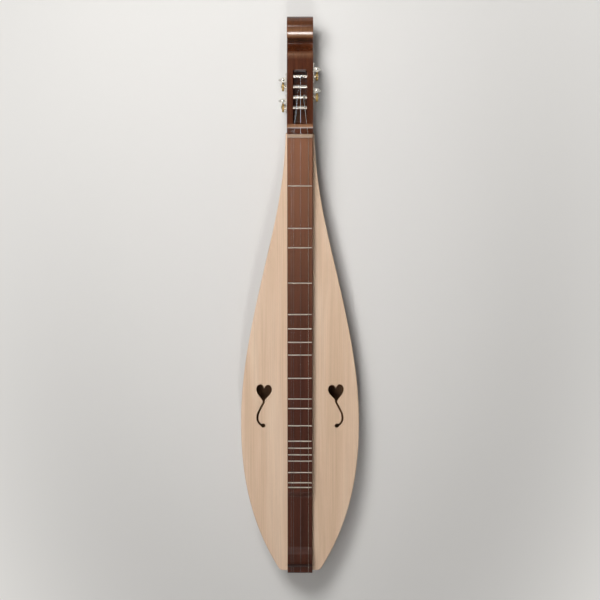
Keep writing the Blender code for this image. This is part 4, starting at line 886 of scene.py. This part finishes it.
def add_button(number):
    """The oval button, its neck, the shaft and the worm, as rings whose radii follow the height.

    The button's width is a cosine to the power 0.8 and its thickness a cosine to the power 0.48. The worm's crest
    climbs one pitch a turn.
    """
    angles = np.linspace(0.0, 2 * math.pi, 40, endpoint=False)
    t = np.radians(np.linspace(-90, 64, 26))
    share = np.cos(t)
    half_worm = WORM_LENGTH / 2
    end = half_worm + TURN_GAP + LUG_THICKNESS + SHAFT_ABOVE_LUG
    low = BUTTON_TOP - POST_Z
    oval = np.stack([low - (1 - np.sin(t)) * BUTTON_HEIGHT / 2, BUTTON_HALF * share**0.8,
                     BUTTON_THICK * share**0.48], axis=1)
    collar = SHAFT_RADIUS * 1.45
    neck = [(low, collar, collar), (low + 0.0006, collar, collar), (low + 0.0009, collar * 0.86, collar * 0.86),
            (low + 0.0015, SHAFT_RADIUS, SHAFT_RADIUS), (-half_worm - 0.0001, SHAFT_RADIUS, SHAFT_RADIUS)]
    tip = [(half_worm + 0.0001, SHAFT_RADIUS, SHAFT_RADIUS), (end - 0.0006, SHAFT_RADIUS, SHAFT_RADIUS),
           (end - 0.0002, SHAFT_RADIUS * 0.88, SHAFT_RADIUS * 0.88), (end, SHAFT_RADIUS * 0.6, SHAFT_RADIUS * 0.6),
           (end, 0.0, 0.0)]
    c, s = np.cos(angles), np.sin(angles)
    rings = [np.stack([w * c, k * s, z + 0 * angles], axis=1) for z, w, k in [*oval, *neck]]
    z = np.linspace(-half_worm, half_worm, 72)[:, None]
    turn = (angles[None] - math.pi / 2) / (2 * math.pi) - z / THREAD_PITCH
    r = tooth_profile((turn - np.round(turn)) * THREAD_PITCH, WORM_PITCH_RADIUS)
    worm = np.stack([r * c, r * s, z + 0 * r], axis=2)
    rings = np.concatenate([np.array(rings), worm,
                            np.array([np.stack([w * c, k * s, z + 0 * angles], axis=1) for z, w, k in tip])])
    y = y_at(-post_along(number)) + WORM_DISTANCE
    rings = rings + [post_side(number) * GEAR_X, y, POST_Z]
    name = f"worm_with_button_{number + 1}"
    mesh = mesh_of(name, [surface(rings, close_columns=True)], NICKEL_PLATE, 45)
    place(name, mesh, "nickel_plate", f"tuner_button_{number + 1}", body=f"button_{number + 1}")


def add_gear(number):
    """A toothed wheel: slanting teeth round a rim, a shallow turned recess in each face, and a bore."""
    angles = np.linspace(0.0, 2 * math.pi, GEAR_TEETH * 20, endpoint=False)
    lead = THREAD_PITCH / (2 * math.pi * WORM_PITCH_RADIUS)
    turn = angles * GEAR_TEETH / (2 * math.pi)
    teeth = tooth_profile((turn - np.round(turn)) * THREAD_PITCH, GEAR_PITCH_RADIUS)
    root, bore, half = GEAR_PITCH_RADIUS - DEDENDUM, SPIGOT_RADIUS + FIT_GAP, GEAR_WIDTH / 2
    face = [(bore, 0.0), (root * 0.46, 0.0), (root * 0.5, 0.0003), (root * 0.80, 0.0003), (root * 0.84, 0.0),
            (root * 0.97, 0.0)]
    rings = []
    for sign in (-1, 1):
        side = [(np.full_like(angles, r), sign * (half - sunk)) for r, sunk in face]
        side += [(teeth - 0.0002, sign * half), (teeth, sign * (half - 0.0003))]
        rings += side if sign < 0 else side[::-1]
    rows = []
    for r, x in rings:
        twist = lead * x / GEAR_PITCH_RADIUS
        rows.append(np.stack([x + 0 * angles, r * np.cos(angles + twist), r * np.sin(angles + twist)], axis=1))
    points = np.array(rows) + [post_side(number) * GEAR_X, y_at(-post_along(number)), POST_Z]
    name = f"cut_gear_{number + 1}"
    mesh = mesh_of(name, [surface(points, close_rows=True, close_columns=True)], BRASS, 30)
    place(name, mesh, "gear_brass", f"tuner_gear_{number + 1}", body=f"post_{number + 1}")


def slotted_screw(radius, height, slot_half):
    """A domed screw head, as rows of constant Y: half an ellipsoid's height, cut off at the slot's floor."""
    y = radius * np.sin(np.linspace(-math.pi / 2, math.pi / 2, 21))
    y = np.sort(np.concatenate([y[np.abs(y) > slot_half * 1.2], [-slot_half, -slot_half, slot_half, slot_half]]))
    in_slot = np.zeros(len(y), bool)
    middle = len(y) // 2
    in_slot[middle - 1:middle + 1] = True
    u = np.sin(np.linspace(-math.pi / 2, math.pi / 2, 17))
    x = u[None] * np.sqrt(np.clip(radius**2 - y**2, 0, None))[:, None]
    z = height * np.sqrt(np.clip(1 - (x**2 + y[:, None]**2) / radius**2, 0, 1))
    z = np.where(in_slot[:, None], np.minimum(z, height * 0.45), z)
    y = np.broadcast_to(y[:, None], x.shape)
    return [surface(np.stack([x, y, z], axis=2)), surface(np.stack([x, y, 0 * z], axis=2))]


def add_post(number):
    """The post, turned about its axis: a shank in its blind bore, a spigot for the gear, and a slotted screw."""
    side = post_side(number)
    washer_low = GEAR_X + GEAR_WIDTH / 2 + FIT_GAP
    washer_high = washer_low + POST_SCREW_HEIGHT * 0.4
    shoulder = GEAR_X - GEAR_WIDTH / 2 - FIT_GAP
    profile = [(0.0, washer_high), (POST_SCREW_RADIUS - 0.0002, washer_high), (POST_SCREW_RADIUS, washer_high - 0.0002),
               (POST_SCREW_RADIUS, washer_low), (SPIGOT_RADIUS, washer_low), (SPIGOT_RADIUS, shoulder),
               (POST_RADIUS - 0.0003, shoulder), (POST_RADIUS, shoulder - 0.0003),
               (POST_RADIUS, -POST_FAR_END + 0.0004), (POST_RADIUS - 0.0004, -POST_FAR_END), (0.0, -POST_FAR_END)]
    origin = (0.0, y_at(-post_along(number)), POST_Z)
    columns = ((0, side, 0), (0, 0, 1), (side, 0, 0))
    parts = [moved(turned(profile), columns, origin)]
    screw = slotted_screw(POST_SCREW_RADIUS * 0.8, POST_SCREW_HEIGHT * 0.6, 0.0003)
    lift = (side * washer_high, origin[1], origin[2])
    parts += [moved(part, columns, lift) for part in screw]
    name = f"turned_post_{number + 1}"
    place(name, mesh_of(name, parts, STEEL, 30), "post_steel", f"tuner_post_{number + 1}", body=f"post_{number + 1}")


def slab_with_hole(outline, hole, low, high, arris, outline_cuts, hole_cuts):
    """A flat plate between two heights, with a hole, and its outer and hole edges softened by quarter circles."""
    q = np.linspace(0.0, math.pi / 2, 4)
    inset = np.concatenate([arris * (1 - np.sin(q)), (arris * (1 - np.cos(q)))])
    heights = np.concatenate([low + arris * (1 - np.cos(q)), high - arris * (1 - np.sin(q))])
    rim = rings_round(outline, outward(outline), -inset[:, None], heights)
    wall = rings_round(hole, outward(hole), (inset / 2)[:, None], heights)
    parts = [surface(rim, close_columns=True), surface(wall, close_columns=True)]
    for end in (0, -1):
        parts += faces_round_hole(rim[end], wall[end], outline_cuts, hole_cuts)
    return parts


def arc(centre_a, centre_b, radius, start, end, steps):
    t = np.linspace(start, end, steps)
    return np.stack([centre_a + radius * np.cos(t), centre_b + radius * np.sin(t)], axis=1)


def add_plate(number):
    """A pressed plate with rounded corners, two lugs that carry the shaft, and four slotted screws."""
    side, y = post_side(number), y_at(-post_along(number))
    front, back = y + PLATE_FORWARD, y - PLATE_BACKWARD
    high, low = POST_Z + PLATE_HALF_HEIGHT, POST_Z - PLATE_HALF_HEIGHT
    r, quarter = PLATE_CORNER, math.pi / 2
    outline = np.concatenate([
        arc(front - r, high - r, r, 0, quarter, 9), arc(back + r, high - r, r, quarter, 2 * quarter, 9),
        arc(back + r, low + r, r, 2 * quarter, 3 * quarter, 9), arc(front - r, low + r, r, 3 * quarter, 4 * quarter, 9)])
    hole = arc(y, POST_Z, POST_RADIUS + TURN_GAP, 0, 4 * quarter, 33)[:-1]
    plate = slab_with_hole(outline, hole, METAL_X, METAL_X + PLATE_METAL, 0.0003, (0, 17), (0, 16))
    # The slab is drawn as (Y, Z) with its thickness along X
    outwards = ((0, 1, 0), (0, 0, 1), (side, 0, 0))
    parts = [moved(part, outwards, (0, 0, 0)) for part in plate]
    shaft_y = y + WORM_DISTANCE
    nose = arc(GEAR_X, 0.0, LUG_HALF, -quarter, quarter, 17)
    root = METAL_X + PLATE_METAL / 2
    lug_outline = np.concatenate([[[root, -LUG_HALF]], nose, [[root, LUG_HALF]]])
    bore = arc(GEAR_X, 0.0, SHAFT_RADIUS + TURN_GAP, -quarter, 3 * quarter, 33)[:-1]
    for sign in (1, -1):
        start = sign * (WORM_LENGTH / 2 + TURN_GAP)
        lug_low, lug_high = sorted((start, start + sign * LUG_THICKNESS))
        lug = slab_with_hole(lug_outline, bore, lug_low, lug_high, 0.00025, (1, 17), (0, 16))
        parts += [moved(part, ((side, 0, 0), (0, 1, 0), (0, 0, 1)), (0, shaft_y, POST_Z)) for part in lug]
    for screw_y, screw_z in ((front - 0.0028, 0.0058), (front - 0.0028, -0.0058),
                             (back + 0.0022, 0.0066), (back + 0.0022, -0.0066)):
        turn = 0.6 + 900 * screw_z
        c, s = math.cos(turn), math.sin(turn)
        screw = slotted_screw(SCREW_RADIUS, SCREW_HEIGHT, 0.00018)
        parts += [moved(part, ((0, c, s), (0, -s, c), (side, 0, 0)),
                        (side * (METAL_X + PLATE_METAL), screw_y, POST_Z + screw_z)) for part in screw]
    name = f"plate_with_lugs_{number + 1}"
    place(name, mesh_of(name, parts, PRESSED_NICKEL, 40), "nickel_silver", f"tuner_plate_{number + 1}")


# Head

HEAD_HALF = 0.0205
HEAD_ARRIS = 0.0009
HEAD_FOOT, HEAD_UNDERSIDE, CHIN_END = 0.0015, 0.0290, 0.0440
LEDGE_END, LEDGE_DROP, LIP_BELOW_STRINGS, LIP_ROUNDING = 0.0150, 0.0040, 0.0015, 0.0025
FLAT_END, FLAT_TOP, THROAT_LOW, THROAT_LENGTH, THROAT_ROUNDING = 0.1290, 0.0600, 0.0405, 0.0065, 0.0006
HEAD_REACH, SCROLL_RADIUS, SCROLL_Z, SCROLL_SHRINK, SCROLL_END = 0.18799, 0.0200, 0.0470, 0.040, math.radians(195)
SLOT_START, SLOT_LENGTH, SLOT_HALF, SLOT_FLOOR, SLOT_CORNER = 0.0215, 0.0835, 0.01075, 0.0370, 0.0022
SLOT_ARRIS = 0.0007
GROOVE_START, GROOVE_TURNS, GROOVE_EYE = math.radians(198), 1.35, 0.0040
HEEL_LENGTH, HEEL_OVERLAP = 0.038, 0.006


def scroll_radius(angle):
    """The scroll's rim draws in at a steady rate from its underside, where the angle is -90 degrees."""
    return SCROLL_RADIUS * np.exp(-SCROLL_SHRINK * (angle + math.pi / 2))


def lip_top():
    """The wall in front of the slot stays a little below the lowest string that falls past it."""
    return min(string_past_nut(number, SLOT_START)[1] for number in range(4)) - LIP_BELOW_STRINGS


def head_profile():
    """The head from the side, as (distance towards the scroll, height): chin, scroll, throat, top, lip, ledge.

    The chin is a quarter sine wave, the scroll a spiral that draws in, and the slope behind it half a cosine.
    """
    start = FIT_GAP - BODY_START
    q = np.linspace(0.0, 1.0, 25)
    chin = np.stack([start + (CHIN_END - start) * q,
                     HEAD_FOOT + (HEAD_UNDERSIDE - HEAD_FOOT) * np.sin(math.pi / 2 * q)], axis=1)
    centre_a = HEAD_REACH - scroll_radius(0.0)
    t = np.linspace(-math.pi / 2, SCROLL_END, 110)
    scroll = np.stack([centre_a + scroll_radius(t) * np.cos(t), SCROLL_Z + scroll_radius(t) * np.sin(t)], axis=1)
    front = scroll[-1, 0]
    throat = [[front - 3 * THROAT_ROUNDING, THROAT_LOW + THROAT_ROUNDING]]
    slope = ramp((front - THROAT_LENGTH, THROAT_LOW), (FLAT_END, FLAT_TOP), 30)
    top = lip_top()
    lip = arc(LEDGE_END + LIP_ROUNDING, top - LIP_ROUNDING, LIP_ROUNDING, math.pi / 2, math.pi, 9)
    ledge = [[LEDGE_END, top - LEDGE_DROP], [start, top - LEDGE_DROP]]
    return np.concatenate([chin, scroll, throat, slope, lip, ledge])


def head_top(a):
    """The height of the sloping top between the lip and the start of the throat."""
    return np.interp(a, [LEDGE_END, FLAT_END], [lip_top(), FLAT_TOP])


def pegbox_cutter():
    """A rounded rectangle in plan, narrowed to a rounded floor and widened at the sloping top for its arris."""
    r, quarter = SLOT_CORNER, math.pi / 2
    near, far = SLOT_START + r, SLOT_START + SLOT_LENGTH - r
    loop = np.concatenate([
        arc(SLOT_HALF - r, far, r, 0, quarter, 8), arc(-SLOT_HALF + r, far, r, quarter, 2 * quarter, 8),
        arc(-SLOT_HALF + r, near, r, 2 * quarter, 3 * quarter, 8), arc(SLOT_HALF - r, near, r, 3 * quarter, 4 * quarter, 8)])
    normals = outward(loop)
    q = np.linspace(0.0, quarter, 5)
    rows = [(-0.0018 * (1 - np.sin(t)), SLOT_FLOOR + 0.0018 * (1 - np.cos(t)), False) for t in q]
    rows += [(SLOT_ARRIS * (1 - np.cos(t)), -SLOT_ARRIS * (1 - np.sin(t)), True) for t in q]
    rows += [(SLOT_ARRIS * 1.02, 0.006, True)]
    rings = []
    for offset, z, from_top in rows:
        flat = loop + normals * offset
        height = head_top(flat[:, 1]) + z if from_top else np.full(len(flat), z)
        rings.append(np.stack([flat[:, 0], y_at(-flat[:, 1]), height], axis=1))
    return closed_tube(np.array(rings))


def groove_cutter(side):
    """A round groove in the cheek that carries the throat's line inwards, a steady step a turn, to the eye."""
    q = np.linspace(0.0, 1.0, 110)
    outer = scroll_radius(GROOVE_START)
    radii = outer + (GROOVE_EYE - outer) * q
    angles = GROOVE_START + 2 * math.pi * GROOVE_TURNS * q
    centre_a = HEAD_REACH - scroll_radius(0.0)
    path = np.stack([np.full_like(q, side * HEAD_HALF), y_at(-centre_a - radii * np.cos(angles)),
                     SCROLL_Z + radii * np.sin(angles)], axis=1)
    return closed_tube(carried_tube(path, np.broadcast_to([1.0, 0.0, 0.0], path.shape), 0.0012 - 0.0003 * q, 14))


def bore_cutter(number):
    side = post_side(number)
    t = np.linspace(0.0, 2 * math.pi, 32, endpoint=False)
    radius = POST_RADIUS + TURN_GAP
    ring = np.stack([0 * t, y_at(-post_along(number)) + radius * np.cos(t), POST_Z + radius * np.sin(t)], axis=1)
    ends = (side * (HEAD_HALF + 0.002), -side * (SLOT_HALF + 0.0063))
    return closed_tube(np.array([ring + [x, 0, 0] for x in ends]))


def add_head():
    """The carved head: its side profile across its width, with the slot, the post bores and the grooves cut."""
    profile = head_profile()
    rings = [np.stack([np.full(len(profile), x), y_at(-profile[:, 0]), profile[:, 1]], axis=1)
             for x in (-HEAD_HALF, HEAD_HALF)]
    mesh = mesh_of("carved_head", closed_tube(np.array(rings)), WALNUT_HEAD, 40)
    head = bpy.data.objects.new("carved_head", mesh)
    bpy.context.scene.collection.objects.link(head)
    arris = head.modifiers.new("softened edges", "BEVEL")
    arris.width, arris.segments, arris.limit_method = HEAD_ARRIS, 3, "ANGLE"
    arris.angle_limit = math.radians(55)
    cutters = [pegbox_cutter(), groove_cutter(1), groove_cutter(-1), *(bore_cutter(number) for number in range(4))]
    for number, parts in enumerate(cutters):
        cutter = bpy.data.objects.new(f"head cutter {number}", mesh_of(f"head cutter {number}", parts, WALNUT_HEAD))
        bpy.context.scene.collection.objects.link(cutter)
        cut = head.modifiers.new(cutter.name, "BOOLEAN")
        cut.operation, cut.solver, cut.object = "DIFFERENCE", "EXACT", cutter
        cutters[number] = cutter
    graph = bpy.context.evaluated_depsgraph_get()
    carved = bpy.data.meshes.new_from_object(head.evaluated_get(graph))
    for spare in (head, *cutters):
        bpy.data.objects.remove(spare, do_unlink=True)
    inner = half_width(BODY_START, PLATE_OVERHANG + SIDE_THICKNESS + FIT_GAP) - FIT_GAP
    corners = [(-inner, SIDE_LOW), (inner, SIDE_LOW), (inner, SIDE_HIGH), (-inner, SIDE_HIGH)]
    heel = np.array([[(x, y, z) for x, z in corners]
                     for y in (y_at(HEEL_LENGTH), y_at(BODY_START) + HEEL_OVERLAP)])
    work = bmesh.new()
    work.from_mesh(carved)
    heel_mesh = mesh_of("heel", closed_tube(heel), WALNUT_HEAD)
    work.from_mesh(heel_mesh)
    work.to_mesh(carved)
    work.free()
    bpy.data.meshes.remove(heel_mesh)
    carved.shade_smooth()
    carved.set_sharp_from_angle(angle=math.radians(32))
    place("carved_head", carved, "walnut_head", "head")


# CAD nodes that stay

FINISHES = {
    "soundboard": SPRUCE, "back": WALNUT, "side": WALNUT, "tail_block": WALNUT, "top_brace": BARE_SPRUCE,
    "back_brace": BARE_SPRUCE, "fretboard": WALNUT_BOARD, "head": WALNUT_HEAD, "nut": BONE, "bridge": ROSEWOOD,
    "fret_": NICKEL_SILVER, "tuner_plate": PRESSED_NICKEL, "tuner_button": NICKEL_PLATE, "tuner_post": STEEL,
    "tuner_gear": BRASS, "string": STRING_STEEL, "hitch_pin": STRING_STEEL,
}


def dress_nodes():
    """Gives each CAD node its finish, by the longest name in FINISHES that its own name starts with."""
    for name, node in NODES.items():
        stem = max((key for key in FINISHES if name.startswith(key)), key=len)
        node.data.materials.clear()
        node.data.materials.append(FINISHES[stem])


# Stage, light and camera

def add_floor():
    """A square sheet of floor under the object."""
    mesh = bpy.data.meshes.new("floor")
    reach = 6.0
    mesh.from_pydata([(-reach, -reach, 0), (reach, -reach, 0), (reach, reach, 0), (-reach, reach, 0)], [],
                     [(0, 1, 2, 3)])
    mesh.materials.append(FLOOR_PAINT)
    floor = bpy.data.objects.new("floor", mesh)
    bpy.context.scene.collection.objects.link(floor)
    floor.location.z = -0.0003


def add_lamp(name, place, aim, size, power, spread=180):
    data = bpy.data.lights.new(name, "AREA")
    data.shape = "RECTANGLE"
    data.size, data.size_y = size
    data.energy = power
    data.spread = math.radians(spread)
    lamp = bpy.data.objects.new(name, data)
    lamp.location = place
    lamp.rotation_euler = (Vector(aim) - Vector(place)).to_track_quat("-Z", "Y").to_euler()
    bpy.context.scene.collection.objects.link(lamp)


def add_light():
    """The surround, pale at the horizon and dimmer overhead, and three lamps.

    The soft key stands beyond the head's treble side, the high fill high above the same side, and the strip at
    the tail gives the scroll its highlight.
    """
    world = bpy.data.worlds.new("pale surround")
    bpy.context.scene.world = world
    world.use_nodes = True
    tree = world.node_tree
    upwards = add(tree, "SeparateXYZ", {"Vector": add(tree, "TexCoord").outputs["Generated"]}).outputs["Z"]
    tone = add(tree, "ValToRGB", {"Fac": upwards}, stops=[(0.12, SURROUND), (0.42, "#565554")])
    tree.links.new(tone.outputs[0], tree.nodes["Background"].inputs["Color"])
    add_lamp("soft key", (-0.5, 1.05, 1.6), (0, 0.2, 0), (0.8, 0.7), 30)
    add_lamp("scroll strip", (0.0, -1.2, 1.25), (0, 0.42, 0.06), (0.14, 1.1), 0.65, spread=40)
    add_lamp("high fill", (-0.6, 0.2, 3.0), (0, 0.0, 0), (0.5, 0.8), 10)


def add_camera():
    data = bpy.data.cameras.new("camera")
    data.sensor_width = PICTURE_SENSOR
    data.lens = PICTURE_SENSOR / 2 / (VIEW_HEIGHT / 2 / VIEW_DISTANCE)
    camera = bpy.data.objects.new("camera", data)
    low, high = (Vector(corner) for corner in CAD_BOX)
    aim = Vector((0.0, (low.y + high.y) / 2, 0.05))
    camera.location = aim + VIEW_DISTANCE * Vector((0.0, math.sin(VIEW_TILT), math.cos(VIEW_TILT)))
    camera.rotation_euler = (-VIEW_TILT, 0.0, 0.0)
    bpy.context.scene.collection.objects.link(camera)
    bpy.context.scene.camera = camera


dress_nodes()
add_soundboard("bass_soundboard", 1, "soundboard_bass")
add_soundboard("treble_soundboard", -1, "soundboard_treble")
add_back()
add_side("bass_side_band", 1, "side_bass")
add_side("treble_side_band", -1, "side_treble")
add_tail_block()
add_fretboard()
add_frets()
add_nut()
add_bridge()
for number in range(4):
    add_string(number)
    add_hitch_nail(number)
    add_plate(number)
    add_post(number)
    add_gear(number)
    add_button(number)
add_head()
add_floor()
add_light()
add_camera()
bpy.context.scene.view_settings.view_transform = "Standard"
